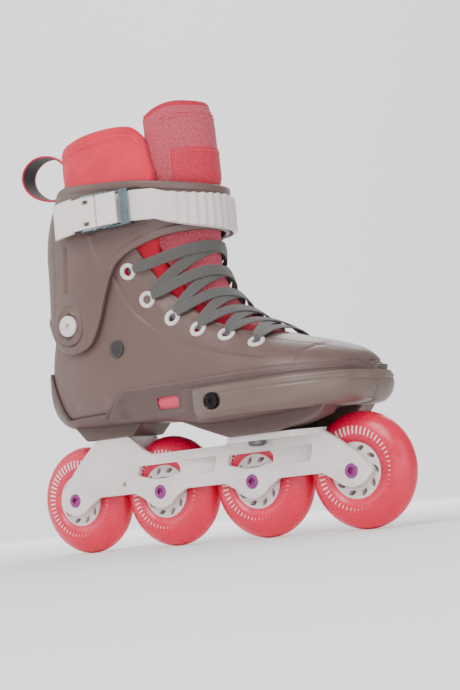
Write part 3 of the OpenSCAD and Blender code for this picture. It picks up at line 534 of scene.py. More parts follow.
class Finish:
    """A named material in the making: a Principled shader and the nodes that feed it.

    Colours are given from 0 to 255, as seen on a screen.
    """

    def __init__(self, name, color, rough, **sockets):
        MATERIALS[name] = self.mat = bpy.data.materials.new(name)
        self.mat.use_nodes = True
        self.tree = self.mat.node_tree
        self.shader = next(n for n in self.tree.nodes if n.type == "BSDF_PRINCIPLED")
        self.color = linear(*color)
        self.rough = rough
        self.shader.inputs["Base Color"].default_value = (*self.color, 1)
        self.shader.inputs["Roughness"].default_value = rough
        for key, value in sockets.items():
            self.shader.inputs[key.replace("_", " ")].default_value = value
        self.last_bump = None
        self.last_color = None
        self.in_space()

    def node(self, kind, inputs=(), **props):
        n = self.tree.nodes.new(kind)
        for key, value in props.items():
            setattr(n, key, value)
        for key, value in dict(inputs).items():
            if isinstance(value, bpy.types.NodeSocket):
                self.tree.links.new(value, n.inputs[key])
            else:
                n.inputs[key].default_value = value
        return n

    def in_space(self):
        """Uses each point's place in space, in metres."""
        self.coords = self.node("ShaderNodeTexCoord").outputs["Object"]
        return self

    def on_cloth(self):
        """Uses each point's place on its fabric, in millimetres."""
        self.coords = self.node("ShaderNodeAttribute", attribute_name="cloth").outputs["Vector"]
        return self

    def stretched(self, factors):
        return self.node("ShaderNodeVectorMath", {0: self.coords, 1: factors},
                         operation="MULTIPLY").outputs[0]

    def noise(self, scale, detail=4.0, vector=None):
        inputs = {"Vector": vector or self.coords, "Scale": scale, "Detail": detail}
        return self.node("ShaderNodeTexNoise", inputs).outputs["Fac"]

    def ramp(self, value, lo, hi, to_lo=0.0, to_hi=1.0):
        inputs = {0: value, 1: lo, 2: hi, 3: to_lo, 4: to_hi}
        return self.node("ShaderNodeMapRange", inputs).outputs[0]

    def math(self, operation, a, b=0.0):
        return self.node("ShaderNodeMath", {0: a, 1: b}, operation=operation).outputs[0]

    def times(self, a, b):
        return self.math("MULTIPLY", a, b)

    def tint(self, share, color):
        """Mixes a linear colour in over what is there, by a share from 0 to 1."""
        inputs = {"Factor": share, 6: self.last_color or (*self.color, 1), 7: (*color, 1)}
        self.last_color = self.node("ShaderNodeMix", inputs, data_type="RGBA").outputs[2]
        self.tree.links.new(self.last_color, self.shader.inputs["Base Color"])
        return self

    def mottle(self, scale, amount):
        """Uneven colour, darker in spots by up to twice the amount."""
        dark = tuple(c * (1 - 2 * amount) for c in self.color)
        return self.tint(self.ramp(self.noise(scale), 0.35, 0.7), dark)

    def blotched(self, scale, lo, hi, share, color):
        """Patches of another colour where the noise runs from lo to hi."""
        return self.tint(self.ramp(self.noise(scale), lo, hi, 0.0, share), linear(*color))

    def worn(self, color, amount):
        """Paler along raised edges, broken up by noise."""
        edge = self.ramp(self.node("ShaderNodeNewGeometry").outputs["Pointiness"], 0.52, 0.6)
        return self.tint(self.times(self.times(edge, self.noise(180)), amount), linear(*color))

    def uneven_gloss(self, scale, spread):
        value = self.ramp(self.noise(scale), 0.3, 0.7, self.rough - spread, self.rough + spread)
        self.tree.links.new(value, self.shader.inputs["Roughness"])
        return self

    def bump(self, height, distance):
        """Adds a height, in metres at distance, over the bumps that are there."""
        inputs = {"Height": height, "Distance": distance, "Strength": 1.0}
        if self.last_bump:
            inputs["Normal"] = self.last_bump
        self.last_bump = self.node("ShaderNodeBump", inputs).outputs[0]
        self.tree.links.new(self.last_bump, self.shader.inputs["Normal"])
        return self

    def grain(self, scale, distance):
        return self.bump(self.noise(scale, 3.0), distance)

    def weave(self, pitch_x, pitch_y, distance, dark, share):
        """Plain weave with a pitch in the coordinates' own unit, dark between its threads."""
        places = self.node("ShaderNodeSeparateXYZ", {0: self.coords}).outputs
        wave = [self.math("SINE", self.times(out, math.pi / pitch))
                for out, pitch in zip(places, (pitch_x, pitch_y))]
        height = self.math("ABSOLUTE", self.times(*wave))
        self.bump(height, distance)
        return self.tint(self.times(self.ramp(height, 0.35, 0.0), share), linear(*dark))


def plastic(name, color, rough, grain, distance=0.00004, wear=None, **sockets):
    f = Finish(name, color, rough, **sockets)
    f.mottle(28, 0.05).uneven_gloss(60, 0.06).grain(grain, distance)
    if wear:
        f.worn(wear, 0.45)


def metal(name, color, rough, stretch=(1, 1, 12)):
    f = Finish(name, color, rough, Metallic=1.0)
    f.grain(1.0, 0.00002)
    f.bump(f.noise(900, 2.0, f.stretched(stretch)), 0.00001)
    f.uneven_gloss(200, 0.08).mottle(90, 0.08)


def foams():
    Finish("coral_foam", (222, 74, 100), 0.8, Subsurface_Weight=0.1).mottle(60, 0.1) \
        .grain(900, 0.0002)
    Finish("footbed", (52, 50, 52), 0.9).mottle(80, 0.15).grain(1200, 0.0003)


def fabrics():
    f = Finish("liner", (226, 14, 56), 0.72, Sheen_Weight=0.12, Sheen_Roughness=0.4).on_cloth()
    f.weave(0.55, 0.55, 0.00006, (186, 45, 75), 0.35)
    f.in_space().mottle(45, 0.1).grain(400, 0.00015)

    f = Finish("tongue", (196, 66, 84), 0.85, Sheen_Weight=0.12).on_cloth()
    f.weave(1.5, 1.5, 0.0004, (150, 48, 70), 0.85)
    f.blotched(0.6, 0.4, 0.62, 0.35, (216, 120, 132)).bump(f.noise(4.0), 0.0001)

    f = Finish("patch", (196, 12, 50), 0.7, Sheen_Weight=0.12).on_cloth()
    f.weave(0.8, 0.8, 0.00012, (150, 30, 60), 0.5)
    f.blotched(0.4, 0.4, 0.7, 0.2, (226, 90, 116))

    f = Finish("binding", (190, 14, 52), 0.75, Sheen_Weight=0.12)
    f.weave(0.0008, 0.0008, 0.0001, (140, 30, 58), 0.5).mottle(160, 0.08)

    f = Finish("lace", (84, 82, 80), 0.85, Sheen_Weight=0.25).on_cloth()
    f.weave(0.9, 1.6, 0.0003, (40, 39, 38), 0.7)
    f.blotched(1.2, 0.4, 0.65, 0.4, (112, 110, 107))

    f = Finish("thread", (236, 60, 92), 0.6, Sheen_Weight=0.3)
    f.mottle(300, 0.1).grain(2500, 0.0001)

    f = Finish("loop", (232, 214, 216), 0.75, Sheen_Weight=0.3).on_cloth()
    f.weave(1.0, 1.3, 0.0002, (176, 150, 156), 0.5).mottle(0.3, 0.05)

    f = Finish("loop_lining", (38, 46, 44), 0.85, Sheen_Weight=0.2).on_cloth()
    f.weave(1.0, 1.0, 0.0002, (18, 22, 21), 0.6).mottle(0.3, 0.1)


def tyre():
    """Clear coral rubber, paler by the core, with a ring of plain bars that swell on one side."""
    f = Finish("tyre", (222, 6, 62), 0.32, Subsurface_Weight=0.12, Coat_Weight=0.12).on_cloth()
    f.shader.inputs["Subsurface Radius"].default_value = (0.006, 0.0015, 0.002)
    f.shader.inputs["Subsurface Scale"].default_value = 1.0
    x, _, z = f.node("ShaderNodeSeparateXYZ", {0: f.coords}).outputs
    radius = f.math("SQRT", f.math("ADD", f.times(x, x), f.times(z, z)))
    turn = f.math("ARCTAN2", z, x)
    comb = f.math("SINE", f.times(turn, 54.0))
    lean = f.math("COSINE", f.math("SUBTRACT", turn, 2.2))
    inner = f.math("SUBTRACT", 25.0, f.times(lean, 0.6))
    outer = f.math("ADD", 28.6, f.times(lean, 2.0))
    thin = f.math("ADD", comb, f.times(f.math("SUBTRACT", lean, 0.9), 0.48))
    ring = f.times(f.math("GREATER_THAN", radius, inner), f.math("LESS_THAN", radius, outer))
    bars = f.times(f.ramp(thin, 0.0, 0.2), ring)
    f.mottle(0.05, 0.06)
    f.tint(f.times(f.ramp(radius, 26.0, 19.0), 0.5), linear(240, 84, 108))
    f.tint(f.times(bars, 0.85), linear(238, 214, 216))
    f.bump(f.noise(0.5, 2.0), 0.00003).uneven_gloss(0.3, 0.1)


def make_materials():
    fine = 0.00002
    plastic("shell", (104, 82, 77), 0.42, 1600, wear=(150, 132, 124))
    plastic("slider", (110, 92, 84), 0.38, 1400, wear=(160, 144, 134))
    plastic("chassis", (88, 68, 64), 0.45, 1500, wear=(136, 116, 110))
    plastic("white_plastic", (224, 214, 212), 0.35, 1200)
    plastic("badge", (58, 52, 52), 0.3, 1500, wear=(120, 112, 110))
    plastic("frame", (222, 211, 210), 0.3, 900, fine, wear=(245, 242, 240))
    plastic("white_lever", (236, 224, 223), 0.3, 1100, fine)
    plastic("strap", (218, 209, 208), 0.33, 900, fine, Subsurface_Weight=0.15)
    plastic("hub", (226, 213, 213), 0.32, 900, fine)
    metal("black_steel", (52, 50, 52), 0.4)
    metal("dark_steel", (110, 110, 114), 0.35)
    metal("steel", (196, 198, 202), 0.25)
    metal("buckle_metal", (150, 172, 180), 0.28, (10, 1, 1))
    metal("purple_axle", (176, 92, 158), 0.3)
    foams()
    fabrics()
    tyre()


make_materials()
SLOT = {part["node"]: part["material_slot"] for part in frame["record"]["subparts"]}


def dress(obj, slot, body, finish=None, *, replaces=()):
    """Gives a new piece its material, named by its record slot or by a finish, and its body."""
    obj.data.materials.clear()
    obj.data.materials.append(MATERIALS[finish or slot])
    if body:
        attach(obj, body)
    if replaces:
        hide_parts(*replaces)
    return obj


# ------------------------------------------------------------------ the shell

THROAT = [[86, 139], [62, 141], [40, 149], [14, 162], [2, 170], [-10, 183], [-21, 201], [-27, 216]]
SEAM = [[-133, 137], [-114, 98], [-69, 98], [-53, 111.5], [68, 111], [104, 110.5], [150, 110.5]]
EYELETS = [(14.65, 75), (12.8, 64), (10.7, 59.5), (9.25, 56.5), (8.05, 46), (6.65, 42.5)]
SHELL_TOP = 15.35               # place
SHELL_THICK = 3.2
CHASSIS_LIFT = 2.8              # of its outer face, off the shell's
EYELET_HOLE = 3.9
WINDOW = (-17, 96.5, 4, 105.5)  # x and z of its low and high corners
PIVOT = (-91, 167)
GROOVE_LINE = rounded([[-47.7, 198.4], [-38.1, 171.5], [-7.8, 149.1], [24.1, 136.1],
                       [58.3, 127.3], [76.5, 123.5]])
TOE_CREASE = rounded([[118, 131], [100, 122], [96, 108]])


def eyelet_places(side):
    """Each eyelet's point and outward direction on one side of the foot."""
    spots = []
    for u, degrees in EYELETS:
        f = share_at(u, side * degrees)
        spots.append((boot(u, f), normal(u, f)))
    return spots


def shell_relief(p):
    """How far the shell's skin stands out of the smooth surface at each point."""
    x, z, side = p[..., 0], p[..., 2], np.abs(p[..., 1])
    on_side = smooth_step(side, 18, 26)
    lift = on_side * groove(side_distance(p, GROOVE_LINE), 1.1, 1.0)
    for dent in ((-102.6, 108), (-70.7, 107.8)):
        lift += on_side * groove(np.hypot(x - dent[0], z - dent[1]), 4.5, 1.2)
    for s in (1, -1):
        spots = [at for at, _ in eyelet_places(s)]
        for a, b in zip(spots[:-1], spots[1:]):
            lift += np.exp(-(np.linalg.norm(p - (a + b) / 2, axis=-1) / 5.5) ** 2)
        for at in spots:
            lift += 0.35 * smooth_step(np.linalg.norm(p - at, axis=-1), 11, 7.5)
    lift += smooth_step(side, 4, 14) * groove(side_distance(p, TOE_CREASE), 1.6, 0.5)
    above_seam = (z - on_edge(SEAM)(x) - 3.4) * (x > -50)
    lift += (x > -50) * smooth_step(side, 3, 8) * groove(above_seam, 0.6, 0.8)
    return lift * smooth_step(z, 104, 106)


def build_shell():
    f = np.linspace(-0.5, 0.5, 321)[:-1]
    top = places_at_edge(f, on_edge(THROAT), 5, SHELL_TOP)
    u = -1 + (top[None, :] + 1) * np.linspace(0, 1, 190)[:, None]
    f = np.broadcast_to(f[None, :], u.shape)
    lift = shell_relief(boot(u, f)) * smooth_step(top[None, :] - u, 0.0, 0.12)
    shell = wall("upper_shell_skin", boot(u, f, lift), boot(u, f, -SHELL_THICK),
                 closed=True, start_rim=False)
    x0, z0, x1, z1 = WINDOW
    cutters = []
    for s in (1, -1):
        for at, n in eyelet_places(s):
            cutters.append(rod("hole", at - 7 * n, at + 6 * n, EYELET_HOLE))
        outline = box_outline(x0 - 2, z0 - 1, x1 + 2, z1 + 1.5)
        cutters.append(prism("window", outline, -s * 30, -s * 50, 0))
    cut(shell, join(cutters, "holes"))
    dress(shell, "shell", ROOT, replaces=("upper_shell",))


def build_chassis():
    u = np.concatenate([np.linspace(-1, 0, 14)[:-1], np.linspace(0, 13.95, 170)])
    seam, near = on_edge(SEAM), np.maximum(u, 0)
    shut = np.clip(1 + 3 * np.minimum(u, 0), 0, 1)
    low = shares_at_edge(near, seam, 1, CHASSIS_LIFT) * shut
    high = 1 - shares_at_edge(near, seam, -1, CHASSIS_LIFT) * shut
    f = low[:, None] + (high - low)[:, None] * np.linspace(0, 1, 241)[None, :]
    u = np.broadcast_to(u[:, None], f.shape)
    p = boot(u, f, CHASSIS_LIFT)
    x, z, side = p[..., 0], p[..., 2], np.abs(p[..., 1])
    on_side = smooth_step(side, 30, 36)
    trough = smooth_step(x, -55, -49) * smooth_step(x, 12, 7) \
        * smooth_step(z, 92.5, 95) * smooth_step(z, 108.5, 106.5)
    lift = -1.5 * trough * on_side
    lift += smooth_step(x, -50, -45) * smooth_step(side, 4, 12) * groove(z - 108.3, 0.8, 0.8)
    heel_line = groove(side_distance(p, [[-110, 104], [-69, 92]]), 1.0, 0.7)
    lift += on_side * smooth_step(x, -55, -60) * heel_line
    chassis = wall("lower_chassis_skin", boot(u, f, CHASSIS_LIFT + lift), boot(u, f, 0.03),
                   start_rim=False)
    cut(chassis, prism("window", box_outline(*WINDOW, corner=1.6), -60, 60, 0, 1))
    dress(chassis, "chassis", ROOT, replaces=("lower_chassis",))
    leg = [[-8, 88.5], [14, 79.5], [35, 71.7], [75, 71.7], [94, 75], [112, 80], [119, 88], [109, 89],
           [94, 88], [48, 87], [17, 88]]
    pylon = [[-116, 95.5], [-104, 82.6], [-60, 82.6], [-52, 90], [-50, 95.5]]
    for name, s in (("lateral", -1), ("medial", 1)):
        dress(prism("chassis_leg_" + name, leg, s * 34, s * 14.5, 1.6), "chassis", ROOT)
    dress(prism("chassis_pylon", pylon, -19, 19, 1.6), "chassis", ROOT)


SLIDER_TOP, SLIDER_FOOT = 106, 89  # heights of its long edges
SLIDER_BACK = 20.5                 # x of its back end
SLIDER_START = 0.35                # place where it starts to wrap the toe
SLIDER_ROWS, SLIDER_COLS = 150, 40


def slider_grid(side):
    """Places and shares over a slider: rows from the toe back, columns from its top edge down."""
    tip = 40
    near = np.linspace(-1, 8.6, 300)
    along = np.linspace(0, 1, SLIDER_ROWS) ** 1.25
    u, f = np.zeros((2, SLIDER_ROWS, SLIDER_COLS))
    for k, level in enumerate(np.linspace(SLIDER_TOP, SLIDER_FOOT, SLIDER_COLS)):
        shares = shares_at_edge(np.maximum(near, 0), lambda x: np.full(x.shape, level), side)
        x = boot(near, side * shares)[tip:, 0]
        end = np.interp(-SLIDER_BACK, -x, near[tip:])
        u[:, k] = SLIDER_START + (end - SLIDER_START) * along
        f[:, k] = side * np.interp(u[:, k], near, shares)
    return u, f


def round_the_toe(grid, side, reach):
    """Adds rows that lead a slider's front round the blunt toe to the middle."""
    first, middle = grid[0], 4 - side * 0.12
    s = np.linspace(0, 1, 16)[:-1][:, None]
    x = first[None, :, 0] + (reach - first[None, :, 0]) * (1 - s ** 2.2)
    y = middle + (first[None, :, 1] - middle) * s
    return np.concatenate([np.stack([x, y, np.broadcast_to(first[:, 2], y.shape)], -1), grid])


def build_sliders():
    tall = SLIDER_TOP - SLIDER_FOOT
    down = np.linspace(0, tall, SLIDER_COLS)[None, :]
    back = 110 * (1 - np.linspace(0, 1, SLIDER_ROWS)[:, None] ** 1.25)
    bevel = 1.3 * (1 - smooth_step(np.minimum(down, tall - down), 0.2, 2.4)) \
        + 1.3 * (1 - smooth_step(back, 0.2, 3.5))
    lift = 5.8 - np.minimum(bevel, 1.6) + groove(down - 4.5, 0.8, 0.55) * smooth_step(back, 4, 9)
    slot = [[29, 97], [30.7, 92.8], [35, 91], [40, 91], [44.3, 92.8], [46, 97], [44.3, 101.2],
            [40, 103], [35, 103], [30.7, 101.2]]
    pad = [[30.4, 93], [34, 91.6], [35, 97], [34, 102.4], [30.4, 101]]
    for side, name in ((1, "lateral_slider"), (-1, "medial_slider")):
        u, f = slider_grid(side)
        outer = round_the_toe(boot(u, f, lift), side, 134.9)
        slider = wall(name + "_skin", outer, round_the_toe(boot(u, f, 2.83), side, 132.4))
        cut(slider, prism("slot", slot, -side * 64, -side * 30, 0, 1))
        dress(slider, "slider", ROOT, replaces=(name,))
        pad_piece = prism(name + "_slot_pad", pad, -side * 48.6, -side * 44, 0.5)
        dress(pad_piece, "slider", ROOT)


# ------------------------------------------------------------------ the cuff

CUFF_LOW = [[-160, 182], [-127, 176], [-118, 167], [-111, 158], [-103, 150.5], [-92, 147.5], [-81, 148.5],
            [-72, 153], [-64, 164], [-56, 181], [-46, 201], [-36, 210.5], [-18, 217], [8, 223.5], [60, 224]]
CUFF_HIGH = [[-160, 272], [-86, 268.5], [-52, 264], [-17, 260], [17, 254.5], [60, 249]]


def rim_distance(grid):
    """How far each point is from the nearest end of its column."""
    step = np.linalg.norm(np.diff(grid, axis=0), axis=2)
    run = np.concatenate([np.zeros((1, grid.shape[1])), np.cumsum(step, 0)])
    return run, run[-1] - run


def build_cuff():
    low_line = rounded(CUFF_LOW, 2)
    slit = share_at(16.5, -33)
    gap = 0.004
    f = slit + gap + np.linspace(0, 1, 361) * (1 - 2 * gap)
    low = places_at_edge(f, on_edge(low_line), 9, 20.9, 5.0)
    high = places_at_edge(f, on_edge(CUFF_HIGH), 12, 20.9, 5.0)
    for _ in range(2):
        low[1:-1] = (low[:-2] + 2 * low[1:-1] + low[2:]) / 4
    t = np.linspace(0, 1, 110)[:, None]
    u = low[None, :] + (high - low)[None, :] * t
    ff = np.broadcast_to(f[None, :], u.shape)
    p = boot(u, ff, 5.0)
    from_low, from_high = rim_distance(p)
    near = np.minimum(from_low, from_high)
    lift = -0.9 * smooth_step(near, 3.2, 5.2)
    x, z, side = p[..., 0], p[..., 2], np.abs(p[..., 1])
    on_side = smooth_step(side, 20, 28)
    ring = np.hypot(x - PIVOT[0], z - PIVOT[1])
    lift += on_side * (0.9 * smooth_step(ring, 21, 17.5) - 0.36 * smooth_step(ring, 13.5, 12.5))
    slot = side_distance(p, [[-92, 192], [-86, 224]])
    rib = side_distance(p, [[-52, 206], [-60, 236]])
    back = side_distance(p, rounded([[-112, 178], [-104, 205], [-100, 250]]))
    lift += on_side * groove(slot, 1.5, 1.4)
    lift -= on_side * groove(rib, 2.6, 0.9)
    lift += on_side * groove(back, 1.3, 0.8)
    # A flat seat under the buckle
    buckle = smooth_step(x, -70, -66) * smooth_step(x, -10, -14) \
        * smooth_step(z, 228, 230.5) * smooth_step(z, 257, 254.5) * (p[..., 1] < -20)
    lift = lift * (1 - buckle) - 1.2 * buckle
    cuff = wall("cuff_skin", boot(u, ff, 5 + lift), boot(u, ff, 1.5))
    dress(cuff, "shell", CUFF, replaces=("cuff",))
    for s, name in ((-1, "lateral"), (1, "medial")):
        a = full_turn(64)
        oval = np.stack([PIVOT[0] + 11.7 * np.cos(a),
                         PIVOT[1] + 11.7 * np.sin(a) + np.where(np.sin(a) > 0, 2.6, -2.6)], 1)
        cover = prism(name + "_pivot_cover_skin", oval, s * 36.6, s * 42.5, 1.4)
        cut(cover, rod("ring", (PIVOT[0], s * 41.3, PIVOT[1]), (PIVOT[0], s * 46, PIVOT[1]), 8, 64))
        dress(cover, "shell", CUFF, replaces=(name + "_pivot_cover",))


# ------------------------------------------------------------------ liner and tongue

COLLAR_HIGH = [[-160, 297], [-90, 300], [-60, 303], [-26, 302], [-16, 296], [-11, 286], [60, 284]]


def stitches(name, path, ups, pitch=3.0, length=2.1, radius=0.28):
    """A line of stitches along a path of points, each a short bead that dips in at its ends."""
    path = np.asarray(path, float)
    run = run_along(path)
    beads = []
    for start in np.arange(pitch / 2, run[-1] - length, pitch):
        s = np.linspace(start, start + length, 4)
        q = np.stack([np.interp(s, run, path[:, k]) for k in range(3)], 1)
        w = np.stack([np.interp(s, run, ups[:, k]) for k in range(3)], 1)
        q += w * (np.array([-0.15, 0.2, 0.2, -0.15])[:, None])
        beads.append(tube("bead", q, radius, 6, w))
    return join(beads, name)


def build_liner():
    u_line = np.linspace(1.0, 20.6, 80)
    inside = shares_at_edge(u_line, on_edge(np.array(THROAT) + [6, 6]), 1)
    collar = np.array([share_at(u, 57) for u in np.maximum(u_line, 12)])
    front_line = np.where(u_line > 12.5, np.minimum(inside, collar), inside)
    for _ in range(3):
        front_line[1:-1] = (front_line[:-2] + 2 * front_line[1:-1] + front_line[2:]) / 4
    c = np.linspace(0, 1, 281)
    at_front = np.interp(18.6, u_line, front_line)
    f_top = at_front + (1 - 2 * at_front) * c
    high = places_at_edge(f_top, on_edge(rounded(COLLAR_HIGH, 2)), 14, 20.9, 0.9)
    t = np.linspace(0, 1, 230)[:, None]
    u = 1.0 + (high[None, :] - 1.0) * t
    front = np.interp(u, u_line, front_line)
    f = front + (1 - 2 * front) * c[None, :]
    leave = smooth_step(u, 15.4, 16.4)
    p = boot(u, f)
    _, from_top = rim_distance(p)
    puff = 1.3 * leave * smooth_step(from_top, 9, 22) * smooth_step(from_top, 70, 34)
    trim = 0.5 * smooth_step(from_top, 8.4, 7.6) - 0.5 * np.exp(-((from_top - 8.2) / 0.7) ** 2)
    seam = groove(from_top - 4.2, 0.55, 0.35)
    outer = boot(u, f, -3.35 + leave * (3.95 + puff + trim + seam))
    inner = boot(u, f, -9.35 + leave * 2.6 - leave * 0.8 * puff)
    liner = wall("liner", outer, inner, with_cloth=True)
    dress(liner, "liner", None, replaces=("liner_foot", "liner_collar"))
    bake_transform(liner)
    for k, away in enumerate((3.1, 5.4)):
        rows = np.argmin(np.abs(from_top - away), axis=0)
        line = rows[4:-4], np.arange(len(c))[4:-4]
        seam = stitches("collar_stitches_%d" % (k + 1), outer[line], normal(u[line], f[line]))
        dress(seam, "liner", CUFF, "thread")
    middle = (outer[-1] + inner[-1]) / 2 + [0, 0, 0.6]
    binding = tube("collar_binding", middle, 2.1, 12, normal(u[-1], f[-1]))
    dress(binding, "liner", CUFF, "binding")


TONGUE_HIGH = [[-60, 296], [-24, 303], [-8, 315], [8, 319], [30, 316]]


def tongue_front(z):
    return 23 - 2.8 * smooth_step(264 - z, 0, 12) - np.maximum(z - 298, 0) ** 2 / 90


def tongue_point(z, a, depth):
    """A point of the tongue's upper half at height z and angle a, depth inside its outer face."""
    w = 32 - np.maximum(z - 270, 0) * 0.06
    return np.stack([tongue_front(z) - 52 + (52 - depth) * np.cos(a), -(w - depth) * np.sin(a), z], -1)


def build_tongue():
    a = np.radians(np.linspace(-72, 72, 121))
    u_low = np.linspace(5.6, 12.6, 60)
    edge = shares_at_edge(u_low, on_edge(np.array(THROAT) + [7, 7]), 1)
    f = np.maximum(edge - 0.012, 0.02)[:, None] * np.linspace(-1, 1, 121)[None, :]
    u = np.broadcast_to(u_low[:, None], f.shape)
    x_top = tongue_point(np.full(a.shape, 308.0), a, 0)[:, 0]
    z_top = on_edge(TONGUE_HIGH)(x_top) - 3.2
    for _ in range(60):
        z_top[1:-1] = (z_top[:-2] + 2 * z_top[1:-1] + z_top[2:]) / 4
    t = np.linspace(0, 1, 90)[:, None]
    z = 236 + (z_top[None, :] - 236) * t
    turn = np.broadcast_to(a[None, :], z.shape)
    rise = smooth_step(t, 0.1, 0.5) * smooth_step(1 - t, 0.02, 0.12)
    crown = rise * np.cos(turn) ** 2
    channel = groove(np.degrees(np.abs(turn)) - 56, 1.3, 0.9) * rise
    s = np.linspace(0, 1, 16)[1:-1][:, None, None]
    faces = []
    for low, high in ((boot(u, f, -0.7), tongue_point(z, turn, -crown * 0.4 - channel * 0.6)),
                      (boot(u, f, -7.4), tongue_point(z, turn, 6.9))):
        # A smooth bridge from the boot's surface up to the tongue's own
        m = smooth_step(s, 0, 1)
        lead_a, lead_b = low[-1] - low[-2], high[1] - high[0]
        bridge = (low[-1] + lead_a * 9 * s) * (1 - m) + (high[0] - lead_b * 9 * (1 - s)) * m
        faces.append(np.concatenate([low, bridge, high]))
    tongue = wall("tongue", *faces, with_cloth=True)
    dress(tongue, "tongue", None, replaces=("tongue_lower", "tongue_upper"))
    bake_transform(tongue)
    top = (faces[0][-1] + faces[1][-1]) / 2
    outwards = unit((top - np.array([-29, 0, 0])) * [1, 1, 0])
    binding = tube("tongue_binding", top + [0, 0, 0.3], 3.5, 14, outwards)
    dress(binding, "tongue", CUFF, "binding")
    for k, inset in enumerate((6.5, 9.0)):
        path = tongue_point(z_top - inset, a, -0.5)[10:-10]
        seam = stitches("tongue_stitches_%d" % (k + 1), path, outwards[10:-10])
        dress(seam, "tongue", CUFF, "thread")


def build_tongue_patch():
    a, z = np.meshgrid(np.radians(np.linspace(-50, 50, 61)), np.linspace(242, 282, 40))
    patch = wall("tongue_patch_skin", tongue_point(z, a, -1.25), tongue_point(z, a, 0.1),
                 with_cloth=True)
    dress(patch, "patch", CUFF, replaces=("tongue_patch",))
    # The seam runs round the patch, from its top left corner
    a = np.radians(np.concatenate([np.linspace(-47, 47, 60), np.full(20, 47),
                                   np.linspace(47, -47, 60), np.full(20, -47)]))
    z = np.concatenate([np.full(60, 280.0), np.linspace(280, 244, 20),
                        np.full(60, 244.0), np.linspace(244, 280, 20)])
    up = np.stack([np.cos(a), -np.sin(a), np.zeros(len(a))], 1)
    dress(stitches("patch_stitches", tongue_point(z, a, -1.3), up), "patch", CUFF, "thread")


def lace_strand(u0, f0, u1, f1, lift):
    """A flat strand's sections from one eyelet to another, raised by lift in the middle."""
    s = np.linspace(0, 1, 40)
    from_end = np.minimum(s, 1 - s)
    u, f = u0 + (u1 - u0) * s, f0 + (f1 - f0) * s
    dip = 3.4 * (1 - smooth_step(from_end, 0.0, 0.06))
    path, n = boot(u, f, 2.1 + lift * np.sin(math.pi * s) - dip), normal(u, f)
    across = np.cross(unit(np.gradient(path, axis=0)), n)
    wide, thick = squarish(full_turn(24), 0.55, 0.8)
    wide = 4.1 * wide
    thick = 0.62 * thick * (1 + 0.25 * np.cos(wide * 1.9))
    pinch = 0.62 + 0.38 * smooth_step(from_end, 0.0, 0.14)
    sections = path[:, None] + across[:, None] * (wide[None, :, None] * pinch[:, None, None]) \
        + n[:, None] * thick[None, :, None]
    return sections, strip_cloth(wide, path)


def build_lace():
    """Rows of crossing strands from eyelet to eyelet, and a bar at the bottom."""
    shares = {s: [share_at(u, s * a) for u, a in EYELETS] for s in (1, -1)}
    strands = []
    for i in range(1, len(EYELETS)):
        low, high = EYELETS[i][0], EYELETS[i - 1][0]
        under, over = (0.2, 1.4) if i == 1 else (1.1, 2.5)
        strands.append(lace_strand(low, shares[1][i], high, shares[-1][i - 1], under))
        strands.append(lace_strand(high, shares[1][i - 1], low, shares[-1][i], over))
    last = EYELETS[-1][0]
    strands.append(lace_strand(last, shares[1][-1], last, shares[-1][-1], 0.9))
    for k, (sections, cloth) in enumerate(strands):
        strand = sweep("lace_strand_%d" % (k + 1), sections, cloth)
        dress(strand, "lace", ROOT, replaces=("lace",) if k == 0 else ())


EYELET_PROFILE = [[3.15, -1.7], [3.1, 0.4], [3.3, 1.3], [3.9, 1.65], [5.4, 1.55], [6.1, 1.1],
                  [6.2, 0.3], [6.1, -0.2], [4.0, -0.25], [3.85, -1.7]]


def build_eyelets():
    for side, name in ((1, "lateral_eyelets"), (-1, "medial_eyelets")):
        rings = []
        for at, n in eyelet_places(side):
            across = unit(np.cross(n, (0.2, 0.1, 0.97)))
            rings.append(lathe("ring", EYELET_PROFILE, 48, at, n, across, np.cross(across, n)))
        dress(join(rings, name + "_skin"), SLOT[name], ROOT, replaces=(name,))


LOOP_PATH = [[-108.6, 291], [-114, 299], [-124, 305], [-138, 307], [-149, 303], [-155, 295], [-153, 285],
             [-145, 277], [-134, 272], [-123, 270], [-114, 270.5], [-107, 277]]


def ribbon(name, path, width, thickness, shift):
    """A flat ribbon along points in side view, moved outwards by shift."""
    x, z = rounded(path, 3).T
    p = np.stack([x, np.zeros(len(x)), z], 1)
    out = np.cross((0, 1, 0), unit(np.gradient(p, axis=0)))
    wide, thick = squarish(full_turn(28), 0.4, 0.7)
    wide, thick = wide * width / 2, thick * thickness / 2 + shift
    sections = p[:, None] + np.array([0, 1, 0]) * wide[None, :, None] \
        + out[:, None] * thick[None, :, None]
    return sweep(name, sections, strip_cloth(wide, p)), p, out


def build_loop():
    outer, p, out = ribbon("pull_loop_skin", LOOP_PATH, 13.4, 1.0, 0.45)
    dress(outer, "loop", CUFF, replaces=("pull_loop",))
    lining, _, _ = ribbon("pull_loop_lining", LOOP_PATH, 12.6, 0.8, -0.45)
    dress(lining, "loop", CUFF, "loop_lining")
    for k, y in enumerate((-6.9, 6.9)):
        edge = tube("pull_loop_edge_%d" % (k + 1), p + [0, y, 0], 0.85, 8, out)
        dress(edge, "loop", CUFF, "binding")


# ------------------------------------------------------------------ wheels, frame, buckle

AXLES = (-121.5, -40.5, 40.5, 121.5)
WHEEL_RADIUS = 40


